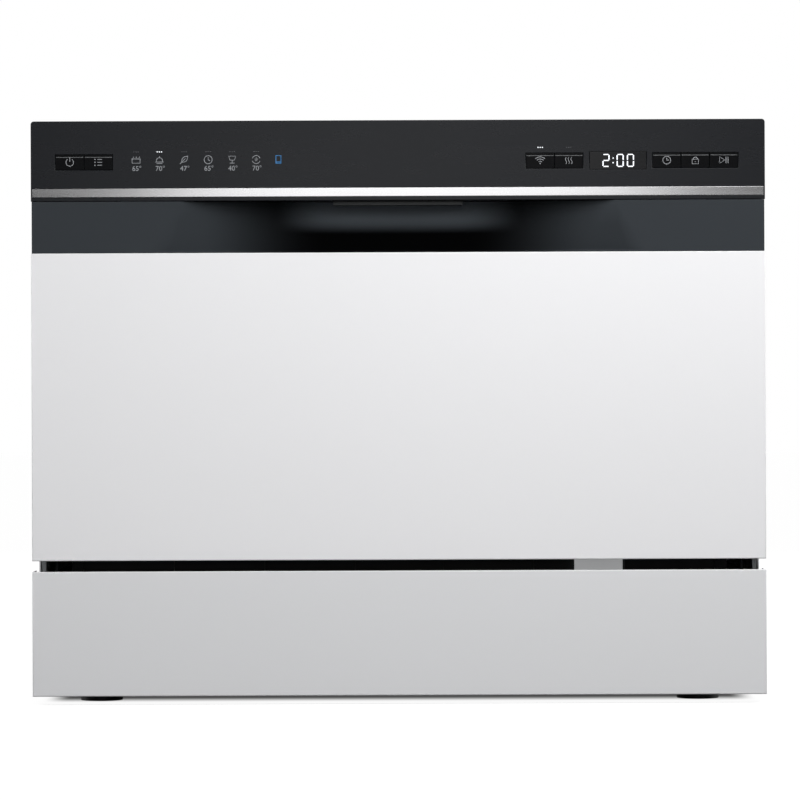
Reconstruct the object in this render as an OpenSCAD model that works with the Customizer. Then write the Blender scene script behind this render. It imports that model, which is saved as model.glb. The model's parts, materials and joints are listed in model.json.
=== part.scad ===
// Countertop dishwasher with a drop-down door and a sliding rack.
// Frame: +Z up, +X to the right seen from the front, the door faces -Y.
// Origin: centre of the footprint, on the counter. Millimetres.

/* [Overall] */
// Width across the door and the worktop cover
width = 550; // [530:5:620]
// Depth from the door's front to the worktop's rear edge
depth = 500; // [480:5:560]
// Height from the counter to the worktop
height = 438; // [430:1:480]

/* [Door] */
// Door thickness, front face to the liner's border
door_t = 44; // [40:1:50]
// Height of the control fascia
fascia_h = 60.5; // [58:0.5:70]
// Height of the dark band that holds the handle pocket
band_h = 39; // [34:1:44]
// Gap between the door and the plinth
door_gap = 8; // [6:0.1:10]
// How far the hinge axis lies behind the door's front
pivot_in = 10; // [10:0.5:12]
// How far the hinge axis lies above the door's lower edge
pivot_up = 8; // [7:0.1:9]
// Steel sheet of the door skin
skin_t = 1; // [0.8:0.1:1.5]
// Depth of the skin's folded edges
skin_fold = 18; // [12:1:22]
// Wall of the fascia moulding
fascia_wall = 2.5; // [2:0.1:3]
// Depth of the pressed pan in the door liner
pan_d = 20; // [14:1:22]

/* [Handle] */
// Width of the scooped pocket at the front
pocket_w = 376; // [300:2:420]
// Depth of the pocket
pocket_d = 34; // [28:1:35]
// Extra depth that the pocket gains towards its floor
pocket_lean = 8; // [4:1:12]
// Width of the release lever
lever_w = 97; // [80:1:120]
// Radius of the lever's and the hook's pivot spigots
spigot_r = 1.5; // [1.2:0.1:2]

/* [Trim strip] */
// Height of the bright strip
strip_h = 6.4; // [4:0.1:8]
// Thickness of the strip
strip_t = 1.2; // [0.8:0.1:1.4]
// Fascia left under the strip
strip_lip = 3; // [2.8:0.1:6]

/* [Controls] */
// Width of one key
key_w = 21.2; // [18:0.1:23]
// Height of one key
key_h = 11.3; // [9:0.1:13]
// Distance between key centres in a bank
key_pitch = 21.4; // [21.4:0.1:24]
// Height of the keys' centre line under the worktop
key_drop = 31.4; // [29:0.1:34]
// Key travel
key_travel = 1; // [0.6:0.1:1.2]
// Clearance between the keys and their opening
key_fit = 0.2; // [0.1:0.05:0.3]
// Distance of the outer key banks from the door's sides
bank_edge = 18.6; // [16:0.2:24]
// Width of the display window
display_w = 42.8; // [34:0.2:50]
// Height of the display window
display_h = 13.4; // [11:0.2:16]

/* [Plinth and feet] */
// Height of the plinth panel
plinth_h = 93.5; // [85:0.5:105]
// Plinth above the counter
plinth_clear = 6.5; // [5:0.5:10]
// Depth of the plinth's side folds
plinth_fold = 28; // [22:1:34]
// Base tray above the counter
foot_h = 12; // [11:1:16]
// Radius of a foot pad
foot_r = 16; // [12:0.5:20]
// Radius of a foot's stem
stem_r = 5; // [4:0.5:6]
// Distance of the feet from the cabinet's sides and ends
foot_in = 45; // [36:1:60]

/* [Cabinet] */
// Steel sheet of the cabinet
sheet_t = 1; // [0.8:0.1:1.2]
// Wall of the base tray
base_wall = 2.5; // [2:0.1:3]
// Height of the base tray's walls
base_h = 81; // [76:1:84]
// Depth of the worktop cover's rim
rim_h = 16; // [13:1:18]
// Wall of the worktop cover
cover_t = 1.2; // [1:0.1:1.5]

/* [Tub] */
// Steel sheet of the tub
tub_t = 1; // [0.8:0.1:1.2]
// Space between the tub and the cabinet's side
tub_side_gap = 36; // [35:0.5:40]
// Space between the tub and the cabinet's rear
tub_rear_gap = 44; // [40:1:60]
// Space between the tub and the worktop
tub_top_gap = 22; // [20:0.5:26]
// Tub floor above the hinge axis
tub_floor_up = 12; // [12:0.5:14]
// Flange around the tub's mouth
flange_w = 12; // [11:0.5:13]
// Corner radius of the tub
tub_r = 24; // [14:1:30]
// Gap between the flange and the door, filled by the seal
seal_gap = 6; // [5:0.1:8]

/* [Rack] */
// Wire diameter across the corners
wire_d = 4; // [3:0.1:5]
// Rack floor above the tub floor
rack_up = 60; // [58:0.5:66]
// Height of the side and rear fences
fence_h = 112; // [90:1:125]
// Height of the front fence
front_h = 66; // [50:1:70]
// Rack to the tub's side walls
rack_side_gap = 13.5; // [13.5:0.1:16]
// Mesh of the wirework
mesh_pitch = 30; // [24:1:40]
// Radius of a rack roller
roller_r = 12; // [9:0.5:14]
// Radius of a roller pin
roller_pin_r = 3; // [2.5:0.1:4]
// Height of the plate tines
tine_h = 58; // [40:1:70]
// Length of the cutlery basket
cutlery_l = 140; // [110:1:150]
// Width of the cutlery basket
cutlery_w = 58; // [46:1:62]
// Height of the cutlery basket
cutlery_h = 104; // [80:1:110]
// Depth of the cup shelf
shelf_w = 76; // [60:1:90]
// Length of the cup shelf
shelf_l = 250; // [200:5:280]

/* [Water side] */
// Radius of the sump's mouth in the tub floor
sump_r = 88; // [80:1:92]
// Reach of the spray arm
arm_r = 178; // [150:1:180]
// Height of the spray arm
arm_t = 12; // [9:0.5:14]
// Radius of the spray arm's post
post_r = 10; // [8:0.5:11]
// Radius of the fine filter
fine_r = 19; // [16:0.5:20]
// Radius of the wash pump's motor
motor_r = 36; // [30:1:38]
// Radius of the salt cap
salt_r = 34; // [30:0.5:36]
// Radius of the float's cap
float_r = 18; // [14:0.5:22]
// Radius of the inlet valve's 3/4 inch thread
inlet_r = 13.2; // [12.8:0.1:13.4]
// Radius of the drain spigot
drain_r = 9.5; // [8.5:0.1:10.5]
// Radius of the cord entry's bore
cord_r = 4.2; // [3.5:0.1:5]

/* [Hidden] */

round_fn = 48;
eps = 0.01;
fit = 0.3;        // gap between neighbours that don't touch
run_fit = 0.05;   // radial clearance of a turning fit

// Planes of the door, from front to back
front_y = -depth / 2;
inner_y = front_y + door_t;
pan_y = inner_y - pan_d;
plinth_top = plinth_clear + plinth_h;
door_z = plinth_top + door_gap;
fascia_z = height - fascia_h;
band_z = fascia_z - band_h;
pivot_y = front_y + pivot_in;
pivot_z = door_z + pivot_up;

// Cabinet shells, nested from the worktop cover inwards
half_w = width / 2;
side_x = half_w - cover_t - 0.2;
base_x = side_x - sheet_t - fit;
cab_y0 = inner_y + 3;
cab_y1 = depth / 2;
rear_y = cab_y1 - cover_t - 0.2;
base_y0 = front_y + 14;
rear_recess = 22;
base_y1 = rear_y - rear_recess;
plate_y = base_y1 - base_wall;
base_z = foot_h;
base_top = base_z + base_h;

// Tub
tub_x = half_w - tub_side_gap;
tub_y0 = inner_y + seal_gap;
tub_y1 = cab_y1 - tub_rear_gap;
tub_z0 = pivot_z + tub_floor_up;
tub_z1 = height - tub_top_gap;
flange_top = tub_z1 + flange_w;

// Rack
wire_af = wire_d * cos(22.5);
rack_x = tub_x - rack_side_gap;
rack_z = tub_z0 + rack_up;
rack_front_set = 20;
rack_y0 = tub_y0 + 12;
rack_y1 = tub_y1 - 16;
rack_low_y = rack_y0 + rack_front_set;
rail_z = rack_z + 60;
rail_wall = 1.5;
roller_w = 6;
roller_y = tub_y0 + 22;
rail_in_x = rack_x + 0.6;
roller_x = rail_in_x + rail_wall + 1.2;

// Water side
sump_y = 10;
arm_z = tub_z0 + 18;
pump_z = base_z + 60;
post_top = arm_z + arm_t + 1;
sump_bottom = base_z + 12;
softener_z0 = base_z + 18;
fine_x = 28;
fine_y = sump_y - 19;
cup_r = 62;
salt_x = -(tub_x - 74);
salt_y = tub_y0 + 70;
float_x = tub_x - 69;
float_y = tub_y0 + 50;
inlet_x = -(base_x - base_wall - 15);
fitting_z = base_z + 48;
fitting_len = 20;
drain_x = -cup_r - 12;
gland_x = base_x - 52;

// Hinge, from the cabinet wall inwards
bracket_t = 3;
bracket_x = base_x - base_wall - 0.4 - bracket_t;
arm_x = bracket_x - 0.8 - bracket_t;
horn_l = 40;
horn_pin_r = 2;
pin_r = 3;
rope_r = 1.5;
rope_x = arm_x - rope_r - 1;
rope_y = pivot_y + horn_l - 6;
rope_z = base_z + 44;
spring_y0 = rope_y + 44;
spring_len = 110;
spring_r = 6.5;
pulley_r = 3;

// Controls
key_z = height - key_drop;
key_recess = 0.4;
key_depth = 7;
board_y = front_y + fascia_wall + 9.5;
board_t = 1.6;
left_bank_x = -half_w + bank_edge + key_pitch / 2;
right_bank_x = half_w - bank_edge - key_pitch * 2.5 - 1.4;
display_x = right_bank_x - key_pitch / 2 - 4.4 - display_w / 2;
mid_bank_x = display_x - display_w / 2 - 4.8 - key_pitch * 1.5;
strip_z = fascia_z + strip_lip;
lever_y = front_y + fascia_wall + 6.8;
lever_z = strip_z + strip_h + 4;
hook_y = inner_y - 16;
hook_z = height - fascia_wall - 11;
hook_tip_y = tub_y0 + 8;

// Dispenser in the liner's pan
disp_w = 150;
disp_h = 84;
disp_x = -20;
disp_z1 = band_z - 14;
disp_front_y = inner_y - 0.6;
lid_w = 66;
lid_h = 56;
lid_x = disp_x + 30;
lid_z1 = disp_z1 - 8;
lid_t = 2.4;
cap_x = disp_x - 40;
cap_r = 17;

// A box between two corners
module box(x0, x1, y0, y1, z0, z1) {
    translate([x0, y0, z0]) cube([x1 - x0, y1 - y0, z1 - z0]);
}

// A rod along X
module rod_x(x0, x1, y, z, r, fn = round_fn) {
    translate([x0, y, z]) rotate([0, 90, 0]) cylinder(r = r, h = x1 - x0, $fn = fn);
}

// A rod along Y
module rod_y(x, y0, y1, z, r, fn = round_fn) {
    translate([x, y0, z]) rotate([-90, 0, 0]) cylinder(r = r, h = y1 - y0, $fn = fn);
}

// A rod along Z
module rod_z(x, y, z0, z1, r, fn = round_fn) {
    translate([x, y, z0]) cylinder(r = r, h = z1 - z0, $fn = fn);
}

// A rectangle with round corners, as an exact outline
module round_rect(x0, x1, z0, z1, r) {
    translate([x0 + r, z0]) square([x1 - x0 - 2 * r, z1 - z0]);
    translate([x0, z0 + r]) square([x1 - x0, z1 - z0 - 2 * r]);
    for (x = [x0 + r, x1 - r], z = [z0 + r, z1 - r]) translate([x, z]) circle(r = r, $fn = round_fn);
}

// An outline drawn in X and Z, given a thickness from y0 to y1
module slab_xz(y0, y1) {
    translate([0, y1, 0]) rotate([90, 0, 0]) linear_extrude(y1 - y0) children();
}

// An outline drawn in Y and Z, given a thickness from x0 to x1
module slab_yz(x0, x1) {
    translate([x0, 0, 0]) rotate([90, 0, 90]) linear_extrude(x1 - x0) children();
}

// The same piece on the left and on the right
module both_sides() {
    children();
    mirror([1, 0, 0]) children();
}

// Eight-sided wires, with flats towards the axes
module wire_x(x0, x1, y, z) {
    translate([x0, y, z]) rotate([0, 90, 0]) rotate(22.5) cylinder(d = wire_d, h = x1 - x0, $fn = 8);
}
module wire_y(x, y0, y1, z) {
    translate([x, y0, z]) rotate([-90, 0, 0]) rotate(22.5) cylinder(d = wire_d, h = y1 - y0, $fn = 8);
}
module wire_z(x, y, z0, z1) {
    translate([x, y, z0]) rotate(22.5) cylinder(d = wire_d, h = z1 - z0, $fn = 8);
}

// Even places from a to b, no further apart than the given step
function places(a, b, step) = let (n = ceil((b - a) / step)) [for (i = [0:n]) a + (b - a) * i / n];

// ---------- base and cabinet ----------

foot_places = [
    for (sx = [-1, 1], y = [base_y0 + foot_in, base_y1 - foot_in]) [sx * (base_x - foot_in), y]
];
beam_y = tub_y0 + eps;
beam_top = tub_z0 - flange_w - tub_t;
rib_pitch = 75;
ledge_w = 8;
window_x = 151.5;
window_w = 37;

module base_tray() color("#17191b") {
    difference() {
        union() {
            difference() {
                box(-base_x, base_x, base_y0, plate_y - fit, base_z, base_top);
                box(-base_x + base_wall, base_x - base_wall, base_y0 + base_wall, base_y1,
                    base_z + base_wall, base_top + 1);
            }
            front_beam();
            rear_shelf();
            for (p = foot_places) rod_z(p[0], p[1], base_z, base_z + 24, stem_r + 4);
            base_posts();
        }
        for (p = foot_places) rod_z(p[0], p[1], base_z - 1, base_z + 20, stem_r + run_fit);
        both_sides() rod_x(base_x - base_wall - 1, base_x + 1, base_y1 - 30, side_screw_z, 1.5);
    }
}

// The tray's rear wall, clipped in under the ledge, with the holes for the fittings and the cord
module fittings_plate() color("#17191b") {
    difference() {
        box(-base_x, base_x, plate_y, base_y1, base_z, base_top - base_wall - fit);
        rod_y(inlet_x, plate_y - 1, base_y1 + 1, fitting_z, inlet_r + 1);
        rod_y(drain_x, plate_y - 1, base_y1 + 1, fitting_z, drain_r + 1);
        rod_y(gland_x, plate_y - 1, base_y1 + 1, fitting_z, cord_r + 3.6);
    }
}

// The ribbed beam under the tub's mouth, with the window that the pale cover closes
module front_beam() {
    beam_x = tub_x + flange_w - 2;
    difference() {
        union() {
            box(-beam_x, beam_x, base_y0 + eps, beam_y + 5, base_top - base_wall, base_top);
            box(-beam_x, beam_x, beam_y, beam_y + 5, base_top - eps, beam_top);
            for (x = places(-beam_x + 8, beam_x - 8, rib_pitch))
                box(x - 1, x + 1, beam_y - 3, beam_y + 1, base_top - eps, beam_top - 2);
        }
        box(window_x - window_w / 2, window_x + window_w / 2, beam_y - 4, beam_y + 6, base_top + 2, beam_top - 2);
    }
}

// The ledge at the rear that carries the tub and closes the recess over the fittings
module rear_shelf() {
    box(-base_x, base_x, plate_y - fit - ledge_w, rear_y - sheet_t - fit, base_top - base_wall, base_top);
    for (sx = [-1, 1]) box(sx * 120 - 15, sx * 120 + 15, tub_y1 - 30, tub_y1 - 26, base_z + 1, tub_z0 - tub_t);
}

// Saddles, spring anchors and rope guides that stand on the tray's floor
module base_posts() {
    box(cup_r + 50, cup_r + 80, sump_y - 12, sump_y + 12, base_z + 1, pump_z - motor_r);
    box(-cup_r - 46, -cup_r - 30, sump_y - 8, sump_y + 8, base_z + 1, drain_pump_z - 22);
    box(salt_x - 50, salt_x + 50, salt_y - 40, salt_y - 34, base_z + 1, softener_z0);
    box(salt_x - 50, salt_x + 50, salt_y + 34, salt_y + 40, base_z + 1, softener_z0);
    rod_z(0, sump_y, base_z + 1, sump_bottom, 20);
    both_sides() {
        box(rope_x - 3, rope_x + 3, spring_y0 + spring_len + 8 + fit, spring_y0 + spring_len + 14,
            base_z + 1, rope_z + 8);
        box(rope_x - 3, rope_x + 3, rope_y + rope_bend + rope_r + 1, rope_y + rope_bend + 16,
            base_z + 1, rope_z - rope_r - fit);
    }
}

// The pale cover behind the gap between door and plinth
module base_front_cover() color("#c9cbce") {
    box(window_x - window_w / 2 + fit, window_x + window_w / 2 - fit, beam_y - 3.5, beam_y + 4,
        base_top + 2 + fit, beam_top - 2 - fit);
}

side_screw_z = base_z + 30;

// Clipped to the base by two tabs behind its front
module plinth_panel() color("#e6e7e9") {
    box(-half_w, half_w, front_y, front_y + skin_t, plinth_clear, plinth_top);
    both_sides() box(half_w - skin_t, half_w, front_y, front_y + plinth_fold, plinth_clear, plinth_top);
    box(-half_w, half_w, front_y, base_y0 - fit, plinth_clear, plinth_clear + skin_t);
    for (x = [-120, 120]) box(x - 12, x + 12, front_y, base_y0, plinth_top - 40, plinth_top - 40 + skin_t);
}

module levelling_feet() color("#202224") {
    for (p = foot_places) {
        rod_z(p[0], p[1], 0, foot_h - 3, foot_r);
        rod_z(p[0], p[1], foot_h - 3, foot_h - fit, foot_r - 4);
        rod_z(p[0], p[1], foot_h - fit, base_z + 19, stem_r);
    }
}

// A side panel: sheet with a front fold above the hinge and a hem at the top
module side_panel() {
    difference() {
        union() {
            box(side_x - sheet_t, side_x, cab_y0, rear_y - sheet_t - fit, base_z + 3, height - cover_t - fit);
            box(side_x - 12, side_x, cab_y0, cab_y0 + sheet_t, pivot_z + horn_l + 14, height - cover_t - fit);
            box(side_x - 10, side_x, cab_y0, rear_y - sheet_t - fit,
                height - cover_t - fit - sheet_t, height - cover_t - fit);
            box(side_x - 10, side_x, rear_y - 2 * sheet_t - fit, rear_y - sheet_t - fit, base_top + 4, height - 24);
        }
        rod_x(side_x - 2, side_x + 1, base_y1 - 30, side_screw_z, 1.7);
        box(side_x - 13, side_x + 1, cab_y0 - 1, cab_y0 + cover_t + fit, flange_top, height);
    }
}
module side_panel_right() color("#dfe0e3") side_panel();
module side_panel_left() color("#dfe0e3") mirror([1, 0, 0]) side_panel();

module top_cover() color("#e3e4e6") {
    difference() {
        box(-half_w, half_w, cab_y0, cab_y1, height - rim_h, height);
        box(-half_w + cover_t, half_w - cover_t, cab_y0 + cover_t, cab_y1 - cover_t, height - rim_h - 1, height - cover_t);
        box(-half_w - 1, half_w + 1, cab_y0 - 1, cab_y0 + cover_t + eps, height - rim_h - 1, flange_top + fit);
        box(-22, 22, cab_y0 - 1, cab_y0 + cover_t + 1, height - rim_h - 1, height - cover_t);
    }
}

module rear_panel() color("#b9bcc0") {
    vent_x = 120;
    difference() {
        box(-side_x + 1, side_x - 1, rear_y - sheet_t, rear_y, base_top - base_wall, height - cover_t - fit);
        for (x = [-vent_x, vent_x], i = [0:7])
            box(x - 35, x + 35, rear_y - sheet_t - 1, rear_y + 1, base_top + 40 + i * 11, base_top + 44 + i * 11);
        for (x = rear_screw_x, z = rear_screw_z) rod_y(x, rear_y - 3, rear_y + 1, z, 1.7);
    }
}

rear_screw_x = [-side_x + 7, side_x - 7];
rear_screw_z = [base_top + 30, height / 2 + 40, height - 40];

module cabinet_screws() color("#9a9da1") {
    both_sides() {
        rod_x(side_x, side_x + 1.3, base_y1 - 30, side_screw_z, 3.4);
        rod_x(side_x - 5, side_x + eps, base_y1 - 30, side_screw_z, 1.45);
    }
    for (x = rear_screw_x, z = rear_screw_z) {
        rod_y(x, rear_y, rear_y + 1.3, z, 3.4);
        rod_y(x, rear_y - sheet_t - 0.2, rear_y + eps, z, 1.45);
    }
}

// ---------- tub ----------

module tub_outline(grow) {
    round_rect(-tub_x - grow, tub_x + grow, tub_z0 - grow, tub_z1 + grow, tub_r + grow);
}

module tub_wrapper() color("#b4b7ba") {
    difference() {
        slab_xz(tub_y0, tub_y1) difference() {
            tub_outline(tub_t);
            tub_outline(0);
        }
        box(-tub_x - 5, tub_x + 5, tub_y0 + 2 * tub_t, tub_y1 + 1, tub_z0 - 5, tub_z0 + tub_r);
    }
    both_sides() box(tub_x, tub_x + tub_t, tub_y0 + 2 * tub_t, tub_y1, tub_z0, tub_z0 + tub_r + eps);
    difference() {
        slab_xz(tub_y0, tub_y0 + tub_t) difference() {
            tub_outline(flange_w);
            tub_outline(tub_t / 2);
        }
        box(-14, 14, tub_y0 - 1, tub_y0 + tub_t + 1, strike_top, height);
    }
    box(-14, 14, tub_y0 + tub_t - eps, tub_y0 + 3 * tub_t, tub_z1 + 2, strike_top);
    both_sides() rod_x(roller_x - 1, tub_x + eps, roller_y, rail_z, roller_pin_r);
    both_sides() box(rail_in_x + rail_wall + 0.6, tub_x + eps, roller_y + 80, roller_y + 96,
        rail_z - roller_r + fit, rail_z + roller_r - fit);
}

module tub_back() color("#b4b7ba") {
    slab_xz(tub_y1, tub_y1 + tub_t) difference() {
        tub_outline(tub_t);
        translate([-tub_x - 5, tub_z0 - tub_t - 5]) square([2 * tub_x + 10, 5]);
    }
}

module tub_floor() color("#b4b7ba") {
    difference() {
        box(-tub_x - tub_t, tub_x + tub_t, tub_y0 + 2 * tub_t, tub_y1, tub_z0 - tub_t, tub_z0);
        rod_z(0, sump_y, tub_z0 - 3, tub_z0 + 1, sump_r);
        rod_z(salt_x, salt_y, tub_z0 - 3, tub_z0 + 1, salt_r - 4);
        rod_z(float_x, float_y, tub_z0 - 3, tub_z0 + 1, float_r - 8);
    }
}

module tub_seal() color("#3a3c3f") {
    slab_xz(inner_y + fit, tub_y0) difference() {
        round_rect(-tub_x - flange_w + 2, tub_x + flange_w - 2, tub_z0, tub_z1 + flange_w - 2, tub_r + flange_w - 2);
        round_rect(-tub_x - 2, tub_x + 2, tub_z0 - 40, tub_z1 + 2, tub_r + 2);
        translate([-half_w, tub_z0 - 1]) square([width, tub_r + flange_w]);
    }
    both_sides() box(tub_x + 2, tub_x + flange_w - 2, inner_y + fit, tub_y0, tub_z0, tub_z0 + tub_r + flange_w);
}

// A grooved rack roller on its pin
module roller_right() color("#cfd1d3") {
    difference() {
        union() {
            rod_x(roller_x, roller_x + roller_w, roller_y, rail_z, roller_r - fit);
            rod_x(roller_x + roller_w - eps, tub_x - fit, roller_y, rail_z, roller_pin_r + 2);
        }
        rod_x(roller_x - 1, tub_x + 1, roller_y, rail_z, roller_pin_r + run_fit);
    }
}
module roller_left() mirror([1, 0, 0]) roller_right();

// ---------- water side ----------

module sump() color("#2c2f33") {
    difference() {
        union() {
            rod_z(0, sump_y, tub_z0 - tub_t - 3, tub_z0 - tub_t, sump_r + 8);
            rod_z(0, sump_y, sump_bottom, tub_z0 - tub_t - eps, cup_r);
            rod_x(cup_r - 4, cup_r + 14, sump_y, pump_z, 16);
            rod_x(-cup_r - 14, -cup_r + 4, sump_y, drain_pump_z, 12);
        }
        rod_z(0, sump_y, sump_bottom + 3, tub_z0 + 1, cup_r - 3);
        rod_z(0, sump_y, tub_z0 - tub_t - 2, tub_z0 + 1, sump_r - 6);
        rod_x(cup_r - 8, cup_r + 15, sump_y, pump_z, 12);
        rod_x(-cup_r - 15, -cup_r + 8, sump_y, drain_pump_z, 9);
    }
}

module main_filter() color("#9b9ea2") {
    difference() {
        union() {
            rod_z(0, sump_y, tub_z0 - 1, tub_z0 + 1.6, sump_r - 2);
            rod_z(fine_x, fine_y, sump_bottom + 6, tub_z0, fine_r + 4);
            rod_z(0, sump_y, tub_z0 - 20, post_top - 14, post_r + 3);
            rod_z(0, sump_y, tub_z0 - 20, post_top, post_r);
        }
        rod_z(fine_x, fine_y, sump_bottom + 8, tub_z0 + 2, fine_r + fit);
        rod_z(0, sump_y, tub_z0 - 21, post_top - 5, post_r - 3);
        for (a = [40:40:280]) rotate_about(0, sump_y, a)
            box(sump_r - 44, sump_r - 12, sump_y - 1.5, sump_y + 1.5, tub_z0 - 2, tub_z0 + 2);
    }
}

// Turns its children about a vertical line
module rotate_about(x, y, a) {
    translate([x, y, 0]) rotate(a) translate([-x, -y, 0]) children();
}

module fine_filter() color("#6f7478") {
    difference() {
        rod_z(fine_x, fine_y, sump_bottom + 8 + fit, tub_z0 + 3, fine_r);
        rod_z(fine_x, fine_y, sump_bottom + 12, tub_z0 + 4, fine_r - 3);
    }
    box(fine_x - fine_r + 1, fine_x + fine_r - 1, fine_y - 1.5, fine_y + 1.5, sump_bottom + 14, tub_z0 + 9);
}

// Hollow spray arm that turns on the post
module spray_arm() color("#5b6066") {
    difference() {
        union() {
            rod_z(0, sump_y, arm_z, arm_z + arm_t, post_r + 12);
            linear_z(arm_z + 1, arm_z + arm_t - 1) arm_outline(0);
        }
        difference() {
            linear_z(arm_z + 2.5, arm_z + arm_t - 2.5) arm_outline(-1.8);
            rod_z(0, sump_y, arm_z, arm_z + arm_t, post_r + 3);
        }
        rod_z(0, sump_y, arm_z - 1, arm_z + arm_t + 1, post_r + run_fit);
        for (s = [-1, 1], r = [50:32:arm_r - arm_tip_r - 4])
            rod_z(s * r, sump_y, arm_z + arm_t - 4, arm_z + arm_t, 1.6);
    }
}
arm_tip_r = 14;
arm_root_w = 24;
module arm_outline(grow) {
    tip_x = arm_r - arm_tip_r;
    translate([0, sump_y]) polygon([
        [-tip_x, -arm_tip_r - grow], [0, -arm_root_w - grow], [tip_x, -arm_tip_r - grow],
        [tip_x, arm_tip_r + grow], [0, arm_root_w + grow], [-tip_x, arm_tip_r + grow]
    ]);
    for (s = [-1, 1]) translate([s * (tip_x - 1), sump_y]) circle(r = arm_tip_r + grow, $fn = round_fn);
}

// An outline drawn in X and Y, given a thickness from z0 to z1
module linear_z(z0, z1) {
    translate([0, 0, z0]) linear_extrude(z1 - z0) children();
}

heater_r = cup_r - 12;
heater_rod_r = 4;
heater_z = sump_bottom + 12;
heater_gap = 70;
heater_start = atan2(fine_y - sump_y, fine_x) + heater_gap / 2;
module heating_element() color("#8a8d90") {
    translate([0, sump_y, heater_z]) rotate([0, 0, heater_start])
        rotate_extrude(angle = 360 - heater_gap, $fn = round_fn) translate([heater_r, 0]) circle(r = heater_rod_r, $fn = 24);
    for (a = [heater_start + 4, heater_start - heater_gap - 4]) rotate_about(0, sump_y, a)
        rod_z(heater_r, sump_y, sump_bottom + 3 + fit, heater_z, heater_rod_r - 1);
}

volute_l = 26;
motor_l = 54;
motor_x0 = cup_r + 14 + volute_l;
module wash_pump() color("#3a3d42") {
    difference() {
        union() {
            rod_x(cup_r + 14, motor_x0, sump_y, pump_z, motor_r - 4);
            rod_x(motor_x0 - eps, motor_x0 + motor_l, sump_y, pump_z, motor_r);
            box(motor_x0 + 10, motor_x0 + motor_l - 10, sump_y - 20, sump_y + 20, pump_z - motor_r + 2, pump_z);
        }
        rod_x(cup_r + 13, cup_r + 18, sump_y, pump_z, 12);
        rod_x(cup_r + 16, motor_x0 - 4, sump_y, pump_z, motor_r - 7);
        rod_x(motor_x0 - 5, motor_x0 + motor_l - 9, sump_y, pump_z, 4 + run_fit);
    }
}
module wash_rotor() color("#d8d9da") {
    rod_x(cup_r + 19, motor_x0 + motor_l - 10, sump_y, pump_z, 4);
    rod_x(cup_r + 19, cup_r + 22, sump_y, pump_z, motor_r - 10);
    for (a = [0:60:300]) translate([cup_r + 22 - eps, sump_y, pump_z]) rotate([a, 0, 0])
        translate([0, -1, 3]) cube([8, 2, motor_r - 14]);
}

drain_pump_z = base_z + 34;
drain_pump_r = 22;
drain_end_x = -cup_r - 14 - 20;
module drain_pump() color("#3a3d42") {
    difference() {
        union() {
            rod_x(drain_end_x, -cup_r - 14, sump_y, drain_pump_z, drain_pump_r - 2);
            rod_x(drain_end_x - 34, drain_end_x + eps, sump_y, drain_pump_z, drain_pump_r);
        }
        rod_x(-cup_r - 18, -cup_r - 13, sump_y, drain_pump_z, 9);
        rod_x(drain_end_x + 4, -cup_r - 16, sump_y, drain_pump_z, drain_pump_r - 5);
        rod_x(drain_end_x - 25, drain_end_x + 5, sump_y, drain_pump_z, 2.5 + run_fit);
    }
}
module drain_rotor() color("#d8d9da") {
    rod_x(drain_end_x - 24, -cup_r - 19, sump_y, drain_pump_z, 2.5);
    for (a = [0:90:270]) translate([drain_end_x + 6, sump_y, drain_pump_z]) rotate([a, 0, 0])
        translate([0, -0.8, 1]) cube([8, 1.6, drain_pump_r - 8]);
}

tank_x = 55;
tank_y = 45;
tank_top = tub_z0 - 22;
module softener_tank() color("#d6d7d9") {
    difference() {
        union() {
            box(salt_x - tank_x, salt_x + tank_x, salt_y - tank_y, salt_y + tank_y, softener_z0, tank_top);
            rod_z(salt_x, salt_y, tub_z0 - 23, tub_z0 - tub_t, salt_r + 2);
            rod_z(salt_x, salt_y, tub_z0 - 23, tub_z0 + 2, salt_r - 4 - fit);
        }
        box(salt_x - tank_x + 3, salt_x + tank_x - 3, salt_y - tank_y + 3, salt_y + tank_y - 3,
            softener_z0 + 3, tank_top - 3);
        rod_z(salt_x, salt_y, softener_z0 + 4, tub_z0 + 3, salt_r - 8);
    }
}
module salt_cap() color("#54585d") {
    difference() {
        union() {
            rod_z(salt_x, salt_y, tub_z0 + 2 + fit, tub_z0 + 8, salt_r - 2);
            rod_z(salt_x, salt_y, tub_z0 - 12, tub_z0 + 3, salt_r - 8 - run_fit);
            box(salt_x - salt_r + 6, salt_x + salt_r - 6, salt_y - 3, salt_y + 3, tub_z0 + 7, tub_z0 + 14);
        }
        rod_z(salt_x, salt_y, tub_z0 - 13, tub_z0 + 4, salt_r - 12);
    }
}

float_lift = 6;
module float_cap() color("#e2e3e4") {
    difference() {
        union() {
            rod_z(float_x, float_y, tub_z0 + fit, tub_z0 + 22, float_r);
            rod_z(float_x, float_y, tub_z0 - 20, tub_z0 + 10, 4);
        }
        difference() {
            rod_z(float_x, float_y, tub_z0 - 1, tub_z0 + 19, float_r - 2);
            rod_z(float_x, float_y, tub_z0 - 2, tub_z0 + 20, 4);
        }
    }
}

inlet_len = 12;
module inlet_valve() color("#e5e6e7") {
    difference() {
        union() {
            rod_y(inlet_x, base_y1 + 3, base_y1 + 3 + inlet_len, fitting_z, inlet_r);
            rod_y(inlet_x, base_y1 + fit, base_y1 + 3 + eps, fitting_z, inlet_r + 3);
            rod_y(inlet_x, base_y1 - 40, base_y1 + fit + eps, fitting_z, inlet_r);
            box(inlet_x - 13, inlet_x + 13, base_y1 - 36, base_y1 - 12, fitting_z - 22, fitting_z + 24);
        }
        rod_y(inlet_x, base_y1 - 30, base_y1 + 4 + inlet_len, fitting_z, inlet_r - 4);
    }
}

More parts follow.
